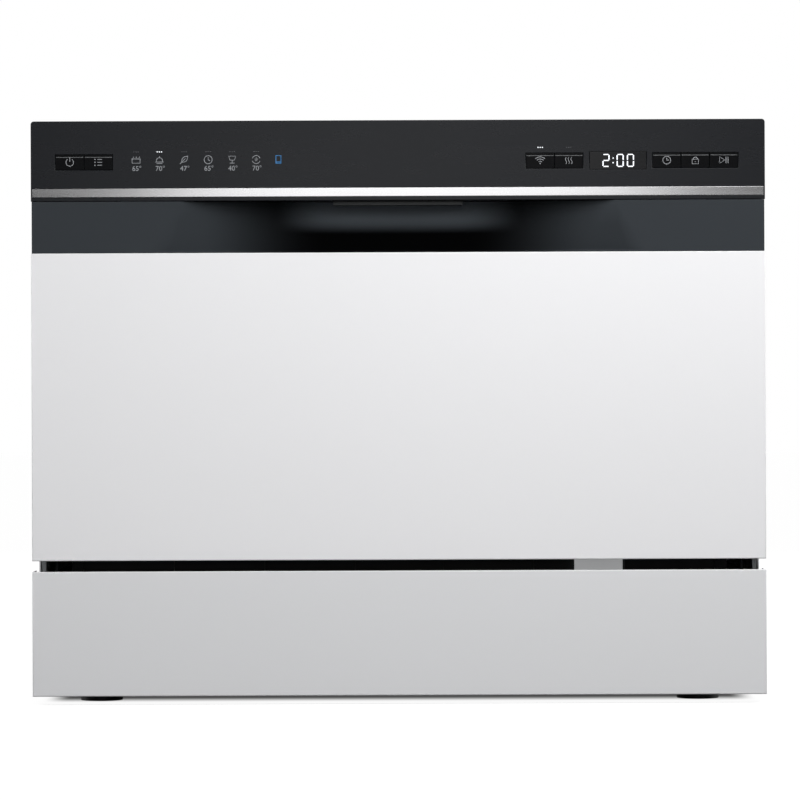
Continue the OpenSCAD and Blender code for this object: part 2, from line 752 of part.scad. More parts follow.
module drain_outlet() color("#34373a") {
    difference() {
        union() {
            rod_y(drain_x, base_y1 + 2, base_y1 + 2 + fitting_len - 2, fitting_z, drain_r);
            rod_y(drain_x, base_y1 + fit, base_y1 + 2 + eps, fitting_z, drain_r + 3);
            rod_y(drain_x, base_y1 - 30, base_y1 + fit + eps, fitting_z, drain_r);
        }
        rod_y(drain_x, base_y1 - 31, base_y1 + 2 + fitting_len, fitting_z, drain_r - 2);
    }
}

module cable_gland() color("#1d1f21") {
    difference() {
        union() {
            rod_y(gland_x, base_y1 - 12, base_y1 + 8, fitting_z, cord_r + 3);
            rod_y(gland_x, base_y1 + fit, base_y1 + 4, fitting_z, cord_r + 6);
            rod_y(gland_x, base_y1 - 12, base_y1 - base_wall - fit, fitting_z, cord_r + 6);
        }
        rod_y(gland_x, base_y1 - 13, base_y1 + 9, fitting_z, cord_r);
    }
}

// Flat water chamber between the tub's left wall and the side panel
air_t = 22;
air_l = 210;
air_y0 = tub_y0 + 60;
air_z0 = tub_z0 + 20;
air_z1 = tub_z1 - 40;
air_port_y = air_y0 + 184;
module air_break() color("#dcdde0") {
    air_x = -tub_x - tub_t - 2;
    difference() {
        box(air_x - air_t, air_x, air_y0, air_y0 + air_l, air_z0, air_z1);
        box(air_x - air_t + 2, air_x - 2, air_y0 + 2, air_y0 + air_l - 2, air_z0 + 2, air_z1 - 2);
    }
    box(air_x - 8, -tub_x - tub_t - fit, air_y0 + 40, air_y0 + 56, air_z1 - 30, air_z1 - 14);
    box(air_x - 14, air_x - 4, air_port_y - 8, air_port_y + 8, base_top + 8, air_z0 + eps);
}

hose_r = 6;
hose_sides = 12;
// Square direction of a route at its point i
function route_dir(p, i) = let (
    a = i > 0 ? p[i] - p[i - 1] : p[1] - p[0],
    b = i < len(p) - 1 ? p[i + 1] - p[i] : a,
    d = a / norm(a) + b / norm(b)
) d / norm(d);
// Ring of points across the route at its point i, started from a side direction
function route_ring(p, i, side) = let (
    d = route_dir(p, i),
    u = cross(d, side) / norm(cross(d, side)),
    v = cross(d, u)
) [for (k = [0:hose_sides - 1]) p[i] + hose_r * (cos(k * 360 / hose_sides) * u + sin(k * 360 / hose_sides) * v)];
module hose_run(p, side) {
    n = hose_sides;
    last = (len(p) - 1) * n;
    polyhedron(
        points = [for (i = [0:len(p) - 1]) each route_ring(p, i, side)],
        faces = concat(
            [[for (k = [0:n - 1]) k]],
            [for (i = [0:len(p) - 2], k = [0:n - 1]) let (m = (k + 1) % n) [i * n + k, (i + 1) * n + k, (i + 1) * n + m]],
            [for (i = [0:len(p) - 2], k = [0:n - 1]) let (m = (k + 1) % n) [i * n + k, (i + 1) * n + m, i * n + m]],
            [[for (k = [n - 1:-1:0]) last + k]]
        )
    );
}
module inner_hoses() color("#4a4d52") {
    hose_run([
        [drain_end_x + 10, sump_y + drain_pump_r - 2 + fit, drain_pump_z],
        [drain_end_x + 10, sump_y + 70, drain_pump_z],
        [drain_x, base_y1 - 60, fitting_z],
        [drain_x, base_y1 - 30 - fit, fitting_z]
    ], [0, 0, 1]);
    hose_run([
        [inlet_x, base_y1 - 40 - fit, fitting_z],
        [inlet_x, air_port_y, fitting_z],
        [-tub_x - tub_t - 11, air_port_y, base_top - 6],
        [-tub_x - tub_t - 11, air_port_y, base_top + 8 - fit]
    ], [1, 0, 0]);
}

// ---------- hinge ----------

rope_bend = 10;
module hinge_brackets() color("#7d8084") both_sides() {
    difference() {
        union() {
            slab_yz(bracket_x, bracket_x + bracket_t) {
                translate([pivot_y, pivot_z]) circle(r = 7, $fn = round_fn);
                translate([pivot_y, pivot_z - 6.5]) square([50, 13.5]);
                translate([pivot_y + 13, base_z + 30]) square([37, pivot_z - base_z - 24]);
            }
            rod_x(bracket_x + bracket_t - eps, base_x - base_wall - fit, pivot_y + 30, base_top - 20, 6);
        }
    }
    rod_x(arm_x - 1.5, bracket_x + eps, pivot_y, pivot_z, pin_r);
}

module hinge_arms() color("#8b8e92") both_sides() {
    difference() {
        slab_yz(arm_x, arm_x + bracket_t) {
            translate([pivot_y, pivot_z]) circle(r = 7, $fn = round_fn);
            translate([pivot_y, pivot_z - 5]) square([horn_l, 11]);
            translate([pivot_y, pivot_z - 5]) square([26, 110]);
        }
        rod_x(arm_x - 1, arm_x + bracket_t + 1, pivot_y, pivot_z, pin_r + run_fit);
    }
    rod_x(rope_x - rope_r - 1, arm_x + eps, rope_y, pivot_z, horn_pin_r);
}

// Coil spring in the base, drawn as one tube, with its rope up to the hinge arm's horn
module door_springs() color("#6e7276") both_sides() {
    rod_z(rope_x, rope_y, rope_z, pivot_z - horn_pin_r - fit, rope_r, 24);
    rod_y(rope_x, rope_y, spring_y0 + eps, rope_z, rope_r, 24);
    rod_x(rope_x - rope_r - 0.4, rope_x + rope_r + 0.4, rope_y, rope_z, pulley_r, 24);
    rod_y(rope_x, spring_y0, spring_y0 + spring_len + 8, rope_z, spring_r, 24);
}

// ---------- door ----------

fascia_top = height - 0.5;
skin_open_x = rope_x - rope_r - 1.6;

module door_skin() color("#eceded") {
    box(-half_w, half_w, front_y, front_y + skin_t, door_z, band_z);
    both_sides() box(half_w - skin_t, half_w, front_y, front_y + skin_fold, door_z, band_z);
    box(-skin_open_x, skin_open_x, front_y, front_y + skin_fold, door_z, door_z + skin_t);
    box(-half_w, half_w, front_y, front_y + 12, band_z - skin_t, band_z);
}

liner_t = 1;
liner_x = half_w - 4;
liner_top = height - 7;
pan_x = tub_x - 13;
pan_z0 = door_z + 24;
pan_z1 = band_z - 6;
module liner_sheet() {
    slab_xz(inner_y - liner_t, inner_y) difference() {
        translate([-liner_x, door_z + 2]) square([2 * liner_x, liner_top - door_z - 2]);
        round_rect(-pan_x + liner_t, pan_x - liner_t, pan_z0 + liner_t, pan_z1 - liner_t, tub_r);
    }
    slab_xz(pan_y, inner_y - eps) difference() {
        round_rect(-pan_x, pan_x, pan_z0, pan_z1, tub_r + liner_t);
        round_rect(-pan_x + liner_t, pan_x - liner_t, pan_z0 + liner_t, pan_z1 - liner_t, tub_r);
    }
    slab_xz(pan_y, pan_y + liner_t) round_rect(-pan_x, pan_x, pan_z0, pan_z1, tub_r + liner_t);
    both_sides() box(liner_x - liner_t, liner_x, inner_y - 22, inner_y - eps, pivot_z + 20, liner_top);
}
module door_liner() color("#b4b7ba") {
    difference() {
        liner_sheet();
        both_sides() box(skin_open_x, half_w, front_y, inner_y + 1, door_z, pivot_z + 14);
        box(-6, 6, inner_y - 3, inner_y + 1, hook_z - 10, height);
        disp_cut();
    }
    both_sides() box(arm_x + bracket_t + fit, liner_x - liner_t + eps, inner_y - 22, inner_y - 8, pivot_z + 30, pivot_z + 90);
}
module disp_cut() {
    box(disp_x - disp_w / 2 + 2, disp_x + disp_w / 2 - 2, pan_y - 1, pan_y + liner_t + 1,
        disp_z1 - disp_h + 2, disp_z1 - 2);
}

// Cone that shapes the handle pocket, grown by a wall
pocket_arc_r = (pow(pocket_w / 2, 2) + pow(pocket_d, 2)) / (2 * pocket_d);
module pocket_cone(grow, z0, z1) {
    slope = pocket_lean / band_h;
    translate([0, front_y + pocket_d - pocket_arc_r, 0]) rotate_extrude($fn = 360) polygon([
        [0, z0], [pocket_arc_r + grow - slope * (z0 - band_z), z0],
        [pocket_arc_r + grow - slope * (z1 - band_z), z1], [0, z1]
    ]);
}
band_wall = 2.5;
ledge_t = 1.6;
module handle_band() color("#232527") {
    difference() {
        union() {
            box(-half_w + 0.5, half_w - 0.5, front_y + 0.4, front_y + 3, band_z, fascia_z - fit);
            both_sides() box(half_w - 3, half_w - 0.5, front_y + 0.4, inner_y - 6, band_z, fascia_z - fit);
            intersection() {
                box(-half_w + 4, half_w - 4, front_y + 0.4, inner_y - 4, band_z, fascia_z - fit);
                pocket_cone(band_wall, band_z - 1, fascia_z);
            }
            box(-half_w + 2, half_w - 2, front_y + 1, front_y + 14, band_z, band_z + ledge_t);
        }
        pocket_cone(0, band_z + ledge_t, fascia_z + 1);
    }
}

lever_slot_x = lever_w / 2 + 0.4;
lever_reach = 12;
lever_ear = 3;
module control_fascia() color("#202124") {
    difference() {
        union() {
            box(-half_w, half_w, front_y, front_y + fascia_wall, fascia_z, fascia_top);
            box(-half_w, half_w, front_y, inner_y - fit, fascia_top - fascia_wall, fascia_top);
            both_sides() box(half_w - fascia_wall, half_w, front_y, inner_y - fit - 1, fascia_z, fascia_top);
            box(-liner_x + liner_t + fit, liner_x - liner_t - fit, front_y, inner_y - 3, fascia_z, fascia_z + 1.6);
            for (x = [-lever_slot_x - lever_ear, lever_slot_x]) box(x, x + lever_ear,
                front_y + fascia_wall - eps, lever_y + 4, fascia_z + 1, lever_z + 4);
            for (x = [-4 - lever_ear, 4]) box(x, x + lever_ear, hook_y - 5, hook_y + 5, hook_z - 5, fascia_top - 1);
        }
        box(-half_w + 1, half_w - 1, front_y - 1, front_y + strip_t, strip_z, strip_z + strip_h);
        box(-lever_slot_x, lever_slot_x, front_y + fascia_wall, lever_y + lever_reach + 0.6, fascia_z - 1, fascia_z + 3);
        key_bank_cut(left_bank_x, 2);
        key_bank_cut(mid_bank_x, 2);
        key_bank_cut(right_bank_x, 3);
        box(display_x - display_w / 2, display_x + display_w / 2, front_y - 1, front_y + fascia_wall + 1,
            key_z - display_h / 2, key_z + display_h / 2);
        rod_x(-lever_slot_x - lever_ear - 1, lever_slot_x + lever_ear + 1, lever_y, lever_z, spigot_r + run_fit);
        rod_x(-5 - lever_ear, 5 + lever_ear, hook_y, hook_z, spigot_r + run_fit);
    }
}
module key_bank_cut(first_x, count) {
    box(first_x - key_w / 2 - key_fit, first_x + (count - 1) * key_pitch + key_w / 2 + key_fit,
        front_y - 1, front_y + fascia_wall + 1, key_z - key_h / 2 - key_fit, key_z + key_h / 2 + key_fit);
}

module trim_strip() color("#d9dadb") {
    box(-half_w + 1, half_w - 1, front_y, front_y + strip_t, strip_z, strip_z + strip_h);
}

module display_window() color("#0c0d0f") {
    box(display_x - display_w / 2 + 0.1, display_x + display_w / 2 - 0.1, front_y, front_y + fascia_wall,
        key_z - display_h / 2 + 0.1, key_z + display_h / 2 - 0.1);
    box(display_x - display_w / 2 + 2, display_x + display_w / 2 - 2, front_y + fascia_wall - eps, board_y,
        key_z - display_h / 2 + 2, key_z + display_h / 2 - 2);
}

switch_y = board_y - 3;
key_xs = concat(
    [for (i = [0:1]) left_bank_x + i * key_pitch],
    [for (i = [0:1]) mid_bank_x + i * key_pitch],
    [for (i = [0:2]) right_bank_x + i * key_pitch]
);
board_x = half_w - fascia_wall - 2;
module control_board() color("#1f5a3a") {
    difference() {
        box(-board_x, board_x, board_y, board_y + board_t, key_z - 9, fascia_top - fascia_wall - fit);
        box(-lever_slot_x - 6, lever_slot_x + 6, board_y - 1, board_y + board_t + 1, key_z - 10, key_z + 8);
    }
    for (x = key_xs) box(x - 3, x + 3, switch_y, board_y + eps, key_z - 3, key_z + 3);
    box(-210, -190, board_y + board_t - eps, board_y + board_t + 9, key_z + 4, key_z + 22);
    box(205, 235, board_y + board_t - eps, board_y + board_t + 12, key_z - 2, key_z + 20);
}

// A key: its cap, a wider rim behind the fascia and a stem to its switch
module key(x) {
    cap_y = front_y + key_recess;
    rim_y = front_y + fascia_wall + fit;
    box(x - key_w / 2, x + key_w / 2, cap_y, rim_y + 1.4, key_z - key_h / 2, key_z + key_h / 2);
    box(x - key_w / 2, x + key_w / 2, rim_y, rim_y + 1.4, key_z - key_h / 2 - 1.4, key_z + key_h / 2 + 1.4);
    box(x - 2, x + 2, rim_y + 1.3, switch_y - key_travel - 0.2, key_z - 2, key_z + 2);
}
module power_key() color("#1b1c1e") key(key_xs[0]);
module program_key() color("#1b1c1e") key(key_xs[1]);
module remote_key() color("#1b1c1e") key(key_xs[2]);
module dry_key() color("#1b1c1e") key(key_xs[3]);
module delay_key() color("#1b1c1e") key(key_xs[4]);
module lock_key() color("#1b1c1e") key(key_xs[5]);
module start_key() color("#1b1c1e") key(key_xs[6]);

paddle_front = 4.4;
paddle_z = fascia_z - 3.5;
lever_half = lever_w / 2;
module handle_lever() color("#2b2d30") {
    rod_x(-lever_slot_x - lever_ear, lever_slot_x + lever_ear, lever_y, lever_z, spigot_r);
    rod_x(-lever_half, lever_half, lever_y, lever_z, 3);
    box(-lever_half, lever_half, lever_y - 1.5, lever_y + 1.5, paddle_z + 2, lever_z);
    box(-lever_half, lever_half, lever_y - paddle_front, lever_y + lever_reach, paddle_z, paddle_z + 2.6);
    slab_yz(-2.5, 2.5) polygon([
        [lever_y, lever_z - 2], [hook_y - 6, lever_z + 9], [hook_y - 3 - 2 * fit, lever_z + 9],
        [hook_y - 3 - 2 * fit, lever_z + 13], [hook_y - 8, lever_z + 13], [lever_y, lever_z + 2]
    ]);
}

strike_top = hook_z + 1.5;
hook_rise = 2.4;      // the arm passes over the flange beside the strike
module latch_hook() color("#9a9da1") {
    rod_x(-3.6, 3.6, hook_y, hook_z, 4);
    rod_x(-4 - lever_ear, 4 + lever_ear, hook_y, hook_z, spigot_r);
    slab_yz(-3, 3) {
        translate([hook_y - 3, lever_z + 8]) square([6, hook_z - lever_z - 8]);
        translate([hook_y, strike_top + hook_rise]) square([hook_tip_y - hook_y, 4]);
        translate([hook_y - 3, hook_z]) square([6, strike_top + hook_rise + 4 - hook_z]);
        translate([hook_tip_y - 4, strike_top + 0.4]) square([4, hook_rise + 3.6]);
    }
}

lid_y = disp_front_y - lid_t / 2;
lid_pin_z = lid_z1 - 3;
barrel_r = 2.2;
disp_back_y = pan_y - 12;
module dispenser() color("#70757b") {
    difference() {
        union() {
            box(disp_x - disp_w / 2, disp_x + disp_w / 2, pan_y + liner_t + fit, disp_front_y, disp_z1 - disp_h, disp_z1);
            box(disp_x - disp_w / 2 + 4, disp_x + disp_w / 2 - 4, disp_back_y, pan_y + liner_t + 1,
                disp_z1 - disp_h + 4, disp_z1 - 4);
        }
        box(lid_x - lid_w / 2 - fit, lid_x + lid_w / 2 + fit, disp_front_y - lid_t - fit, disp_front_y + 1,
            lid_z1 - lid_h - fit, lid_z1 + 1);
        box(lid_x - lid_w / 2 + 5, lid_x + lid_w / 2 - 5, disp_back_y + 4, disp_front_y, lid_z1 - lid_h + 5, lid_z1 - 9);
        rod_x(lid_x - lid_w / 2 - fit, lid_x + lid_w / 2 + fit, lid_y, lid_pin_z, barrel_r + fit);
        rod_x(lid_x - lid_w / 2 - 4, lid_x + lid_w / 2 + 4, lid_y, lid_pin_z, 1 + run_fit);
        rod_y(cap_x, disp_front_y - 9, disp_front_y + 1, (lid_z1 + lid_z1 - lid_h) / 2, cap_r + run_fit);
        rod_y(cap_x, disp_back_y + 3, disp_front_y, (lid_z1 + lid_z1 - lid_h) / 2, cap_r - 5);
    }
}
module detergent_lid() color("#5d6268") {
    rod_x(lid_x - lid_w / 2, lid_x + lid_w / 2, lid_y, lid_pin_z, barrel_r);
    rod_x(lid_x - lid_w / 2 - 4, lid_x + lid_w / 2 + 4, lid_y, lid_pin_z, 1);
    box(lid_x - lid_w / 2, lid_x + lid_w / 2, disp_front_y - lid_t, disp_front_y, lid_z1 - lid_h, lid_pin_z);
}
module rinse_aid_cap() color("#3c6f9f") {
    rod_y(cap_x, disp_front_y - 8, disp_front_y - 4, (lid_z1 + lid_z1 - lid_h) / 2, cap_r);
    rod_y(cap_x, disp_front_y - 5, disp_front_y, (lid_z1 + lid_z1 - lid_h) / 2, cap_r);
    box(cap_x - cap_r + 4, cap_x + cap_r - 4, disp_front_y - 1, disp_front_y + 4,
        (lid_z1 + lid_z1 - lid_h) / 2 - 2, (lid_z1 + lid_z1 - lid_h) / 2 + 2);
}

module door_seal() color("#3a3c3f") {
    box(-tub_x + 1, tub_x - 1, inner_y, tub_y0 - fit, pivot_z + 2, pivot_z + 10);
}

// ---------- rack ----------

front_foot_z = rack_z + 22;
rack_gap = 0.2;
wire_r = wire_af / 2;
floor_z = rack_z + wire_r;
sink = 0.5;
floor_top = floor_z + wire_af - sink + wire_r;

floor_end_y = rack_y1 - 2 * wire_af;
long_xs = places(-rack_x + wire_d * 2, rack_x - wire_d * 2, mesh_pitch);
side_post_ys = places(rack_low_y + wire_d * 2, floor_end_y - rack_gap - wire_d, mesh_pitch * 2);
// The floor: wires along Y with cross wires laid on them
module rack_floor() {
    for (x = long_xs) wire_y(x, rack_low_y, floor_end_y, floor_z);
    for (y = places(rack_low_y + wire_r + 1, floor_end_y - wire_r - 1, mesh_pitch))
        wire_x(-rack_x + wire_af + rack_gap, rack_x - wire_af - rack_gap, y, floor_z + wire_af - sink);
}
// A fence across the rack: level wires in front of upright ones
module cross_fence(y, out, z0, z1, step) {
    for (x = places(-rack_x + wire_d * 2, rack_x - wire_d * 2, step)) wire_z(x, y, z0, z1);
    for (z = [z1 - wire_r, z0 + wire_r + 2]) wire_x(-rack_x + wire_af + rack_gap, rack_x - wire_af - rack_gap, y + out * (wire_af - sink), z);
}
module side_fence() {
    x = rack_x - wire_r;
    for (y = side_post_ys) wire_z(x, y, rack_z, rack_z + fence_h);
    for (z = [rack_z + fence_h - wire_r, rail_z - roller_r - 6, rack_z + wire_r + 8])
        wire_y(x - wire_af + sink, rack_low_y, floor_end_y - rack_gap, z);
    wire_y(rail_in_x - wire_r, rack_y0 + wire_af + rack_gap, floor_end_y - rack_gap, rail_z);
}
module rack_wirework() color("#9da1a6") {
    rack_floor();
    cross_fence(rack_y1 - wire_r, -1, rack_z, rack_z + fence_h, mesh_pitch * 2);
    cross_fence(rack_y0 + wire_r, 1, front_foot_z, rack_z + front_h, mesh_pitch);
    both_sides() side_fence();
    for (i = [1, 4]) shelf_clip(side_post_ys[i]);
    for (x = long_xs) front_slope(x + sink);
}
// A clip on an upright of the left fence, with the bore that the cup shelf turns in
module shelf_clip(y) {
    difference() {
        box(-rack_x + 1, shelf_pin_x + 5, y - 2.5, y + 2.5, shelf_z - 5, shelf_z + 5);
        rod_y(shelf_pin_x, y - 3, y + 3, shelf_z, wire_r + run_fit);
    }
}

// The sloping wire from the floor's front up to the front fence's foot
module front_slope(x) {
    low_y = rack_low_y - rack_gap - wire_r;
    rise = front_foot_z + 3 - floor_z;
    run = low_y - rack_y0 - wire_r;
    translate([x, low_y, floor_z]) rotate([atan2(run, rise), 0, 0]) rotate(22.5)
        cylinder(d = wire_d, h = norm([run, rise]), $fn = 8);
}

tine_pitch = 24;
tine_xs = [-rack_x + 129.5, -rack_x + 205.5];
module plate_tines() color("#9da1a6") {
    tine_z = floor_top + rack_gap + wire_r;
    for (x = tine_xs) {
        wire_y(x, rack_low_y + 8, rack_y1 - 20, tine_z);
        for (y = places(rack_low_y + 16, rack_y1 - 28, tine_pitch)) wire_z(x, y, tine_z, tine_z + tine_h);
    }
}

module rack_rails() color("#d3d5d8") both_sides() {
    x1 = tub_x - 2;
    rail_y0 = roller_y - roller_r - 0.5;
    box(rail_in_x + fit, rail_in_x + rail_wall, rail_y0, rack_y1 - 4, rail_z - roller_r - rail_wall, rail_z + roller_r + rail_wall);
    for (z = [rail_z - roller_r - rail_wall, rail_z + roller_r])
        box(rail_in_x + fit, x1, rail_y0, rack_y1 - 4, z, z + rail_wall);
}

basket_x = 70;
basket_y = rack_y0 + 2 * wire_d + 2;
basket_z = floor_top + fit;
module cutlery_basket() color("#84898f") {
    n = 5;
    cell = (cutlery_l - 2) / n;
    difference() {
        box(basket_x, basket_x + cutlery_l, basket_y + rack_front_set, basket_y + rack_front_set + cutlery_w,
            basket_z, basket_z + cutlery_h);
        for (i = [0:n - 1], j = [0:1])
            box(basket_x + 2 + i * cell, basket_x + i * cell + cell, basket_y + rack_front_set + 2 + j * (cutlery_w - 2) / 2,
                basket_y + rack_front_set + (j + 1) * (cutlery_w - 2) / 2, basket_z + 2, basket_z + cutlery_h + 1);
    }
}

shelf_z = rack_z + fence_h - 14;
shelf_pin_x = -rack_x + 3 * wire_d + 2;
shelf_y0 = rack_low_y + 50;
module cup_shelf() color("#84898f") {
    for (y = places(shelf_y0, shelf_y0 + shelf_l, 25)) wire_x(shelf_pin_x, shelf_pin_x + shelf_w, y, shelf_z);
    rod_y(shelf_pin_x, shelf_y0 - 6, shelf_y0 + shelf_l + 6, shelf_z, wire_r);
    wire_y(shelf_pin_x + shelf_w, shelf_y0 - wire_r, shelf_y0 + shelf_l + wire_r, shelf_z);
}

base_tray();
fittings_plate();
base_front_cover();
plinth_panel();
levelling_feet();
side_panel_left();
side_panel_right();
top_cover();
rear_panel();
cabinet_screws();
tub_wrapper();
tub_back();
tub_floor();
tub_seal();
roller_left();
roller_right();
sump();
main_filter();
fine_filter();
spray_arm();
heating_element();
wash_pump();
wash_rotor();
drain_pump();
drain_rotor();
softener_tank();
salt_cap();
float_cap();
inlet_valve();
drain_outlet();
cable_gland();
air_break();
inner_hoses();
hinge_brackets();
door_springs();
door_skin();
door_liner();
control_fascia();
trim_strip();
handle_band();
handle_lever();
latch_hook();
display_window();
control_board();
hinge_arms();
dispenser();
detergent_lid();
rinse_aid_cap();
door_seal();
power_key();
program_key();
remote_key();
dry_key();
delay_key();
lock_key();
start_key();
rack_wirework();
plate_tines();
rack_rails();
cutlery_basket();
cup_shelf();
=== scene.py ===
# %% [markdown]
# # A countertop dishwasher, dressed for its picture
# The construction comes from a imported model: every hinge, wall and wheel is already in its place and
# at its real size. This lesson loads that model as a fixed frame and gives it its looks. Everything is
# in metres: X runs to the right, Y from the door to the back, Z up. Each helper comes before its use.

# %% Load the frame
import json
import math
import bmesh
import bpy
from mathutils import Matrix, Vector

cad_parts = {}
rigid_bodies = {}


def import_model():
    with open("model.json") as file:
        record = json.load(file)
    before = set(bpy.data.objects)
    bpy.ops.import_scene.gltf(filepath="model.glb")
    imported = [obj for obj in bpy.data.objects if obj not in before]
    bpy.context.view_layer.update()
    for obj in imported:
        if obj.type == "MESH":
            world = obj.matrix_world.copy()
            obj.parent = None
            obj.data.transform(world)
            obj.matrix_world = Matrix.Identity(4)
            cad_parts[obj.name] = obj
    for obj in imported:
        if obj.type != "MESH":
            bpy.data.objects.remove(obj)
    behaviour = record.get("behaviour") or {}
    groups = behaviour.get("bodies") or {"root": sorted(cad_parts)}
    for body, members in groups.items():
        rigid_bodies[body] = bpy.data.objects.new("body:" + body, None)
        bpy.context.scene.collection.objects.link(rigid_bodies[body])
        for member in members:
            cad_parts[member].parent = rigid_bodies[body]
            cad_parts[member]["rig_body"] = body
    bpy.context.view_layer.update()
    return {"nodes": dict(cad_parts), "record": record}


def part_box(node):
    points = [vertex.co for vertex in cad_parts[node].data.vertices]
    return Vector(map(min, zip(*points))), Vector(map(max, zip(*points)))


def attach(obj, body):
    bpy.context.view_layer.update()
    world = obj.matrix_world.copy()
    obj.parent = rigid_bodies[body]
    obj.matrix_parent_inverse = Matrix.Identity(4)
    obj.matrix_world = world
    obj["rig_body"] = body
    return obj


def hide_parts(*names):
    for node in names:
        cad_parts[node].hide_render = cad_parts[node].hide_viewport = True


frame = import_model()
MM = 0.001

# %% [markdown]
# ## Where the photograph was taken from
# The picture shows the front straight on, with no side in view, so the lens was long and far away. The
# door is 550 mm wide and fills 734 of the 800 pixels. That fixes the lens once a distance is chosen. At
# 3.1 m the cabinet's edges behind the door show just as far in as they do in the photograph. The
# picture leans by a fifth of a degree, so the camera is rolled by as much.

# %% Camera
PHOTO_PX = 800
DOOR_PX = 734.3
DOOR_W = 0.550
FRONT_Y = -0.250
CAMERA_AWAY = 3.1
SENSOR = 36.0
ROLL = math.radians(0.22)
AXIS_X = 0.0010
AXIS_Z = 0.2278


def add_camera():
    data = bpy.data.cameras.new("camera")
    seen_width = PHOTO_PX / DOOR_PX * DOOR_W
    data.sensor_width = SENSOR
    data.lens = SENSOR * CAMERA_AWAY / seen_width
    camera = bpy.data.objects.new("camera", data)
    bpy.context.scene.collection.objects.link(camera)
    camera.matrix_world = (
        Matrix.Translation((AXIS_X, FRONT_Y - CAMERA_AWAY, AXIS_Z))
        @ Matrix.Rotation(ROLL, 4, "Y")
        @ Matrix.Rotation(math.radians(90), 4, "X")
    )
    bpy.context.scene.camera = camera
    return camera


camera = add_camera()
bpy.context.scene.view_settings.view_transform = "Standard"
print("lens:", round(camera.data.lens, 1), "mm")

# %% [markdown]
# ## Shader maths that reads like maths
# A procedural finish is a small formula: noise here, a mask there. Wiring it node by node hides the
# formula. This class wraps a socket, so that `1 - mask * 0.3` adds the Math nodes by itself.

# %% A socket that can be added and multiplied
class Sock:
    """One output socket of a material's node tree."""

    def __init__(self, tree, out):
        self.tree = tree
        self.out = out

    def math(self, operation, *values):
        return make_node(self.tree, "Math", 0, dict(enumerate(values)), operation=operation)

    def __add__(self, other):
        return self.math("ADD", self, other)

    def __sub__(self, other):
        return self.math("SUBTRACT", self, other)

    def __rsub__(self, other):
        return self.math("SUBTRACT", other, self)

    def __mul__(self, other):
        return self.math("MULTIPLY", self, other)

    __radd__ = __add__
    __rmul__ = __mul__

    def clamp(self):
        return self.math("MINIMUM", self.math("MAXIMUM", self, 0.0), 1.0)


def connect(tree, socket, value):
    """Feeds a socket with a link or a plain value."""
    if isinstance(value, Sock):
        tree.links.new(value.out, socket)
    else:
        socket.default_value = value


def make_node(tree, kind, out, sockets=None, **settings):
    """Adds a node: its settings come first, then its sockets. Returns one of its outputs."""
    node = tree.nodes.new("ShaderNode" + kind)
    for name, value in settings.items():
        setattr(node, name, value)
    for name, value in (sockets or {}).items():
        connect(tree, node.inputs[name], value)
    return Sock(tree, node.outputs[out])


print("shader helper ready")

# %% [markdown]
# ## One way to start every finish
# Each finish is a Principled shader. What is the same all over goes straight on its sockets. What
# varies over the surface reads Object coordinates, so a pattern stays where it is when the door swings.

# %% Start a finish
MIX_FACTOR, MIX_LOW, MIX_HIGH, MIX_COLOUR = 0, 6, 7, 2


def finish_of(name, colour, roughness, metallic=0.0, **plain):
    """A new material with its Principled shader, and a socket of Object coordinates in metres."""
    material = bpy.data.materials.new(name)
    material.use_nodes = True
    tree = material.node_tree
    shader = tree.nodes["Principled BSDF"]
    shader.inputs["Base Color"].default_value = (*colour, 1.0)
    shader.inputs["Roughness"].default_value = roughness
    shader.inputs["Metallic"].default_value = metallic
    for key, value in plain.items():
        shader.inputs[key.replace("_", " ")].default_value = value
    return material, tree, shader, make_node(tree, "TexCoord", "Object")


def axis_of(tree, place, letter):
    """One of a coordinate's three numbers."""
    return make_node(tree, "SeparateXYZ", letter, {0: place})


def noise(tree, place, scale, detail=2.0, rough=0.5):
    sockets = {"Vector": place, "Scale": scale, "Detail": detail, "Roughness": rough}
    return make_node(tree, "TexNoise", "Fac", sockets)


def stretched(tree, place, scale):
    """The coordinates multiplied by a vector, for grain that runs one way."""
    return make_node(tree, "Mapping", "Vector", {"Vector": place, "Scale": scale})


def roughen(tree, shader, value):
    connect(tree, shader.inputs["Roughness"], value)


def bump(tree, shader, height, strength, distance):
    sockets = {"Height": height, "Strength": strength, "Distance": distance}
    connect(tree, shader.inputs["Normal"], make_node(tree, "Bump", "Normal", sockets))


def tint(tree, shader, mask, low, high):
    """Base colour that runs from low to high as the mask goes from 0 to 1."""
    sockets = {MIX_FACTOR: mask, MIX_LOW: (*low, 1.0), MIX_HIGH: (*high, 1.0)}
    colour = make_node(tree, "Mix", MIX_COLOUR, sockets, data_type="RGBA")
    connect(tree, shader.inputs["Base Color"], colour)


def glow(shader, colour, strength):
    shader.inputs["Emission Color"].default_value = (*colour, 1.0)
    shader.inputs["Emission Strength"].default_value = strength


def toned(colour, share, lift=0.0):
    """The same colour lighter or darker."""
    return tuple(c * share + lift for c in colour)


print("finish helper ready")

# %% [markdown]
# ## White baked paint
# The door, the plinth and the cabinet are steel sheet with a smooth white powder coat. Close up it is
# not a mirror: it has a very fine orange-peel ripple, and its gloss changes a little where hands wipe
# it. The photograph shows the door a shade darker towards its foot, which the lamps give, not the
# paint. The plinth stands back and is a little darker than the door; that shade is painted into a
# darker copy of the paint.

# %% White paint
def white_paint(name, colour):
    material, tree, shader, place = finish_of(
        name, colour, 0.34, Coat_Weight=0.25, Coat_Roughness=0.18
    )
    peel = noise(tree, place, 900.0)
    wiped = noise(tree, place, 14.0, 3.0)
    cloud = noise(tree, place, 4.0)
    roughen(tree, shader, wiped * 0.14 + 0.27)
    tint(tree, shader, cloud, toned(colour, 0.985), colour)
    bump(tree, shader, peel, 0.05, 0.0002)
    return material


FINISH = {"white_steel": white_paint("white_paint", (0.83, 0.83, 0.845))}
# A darker copy of the white paint: painted shade for the plinth, which stands back.
PLINTH_SHADED_WHITE = white_paint("plinth_paint_shaded", (0.745, 0.75, 0.765))
print("white paint ready")

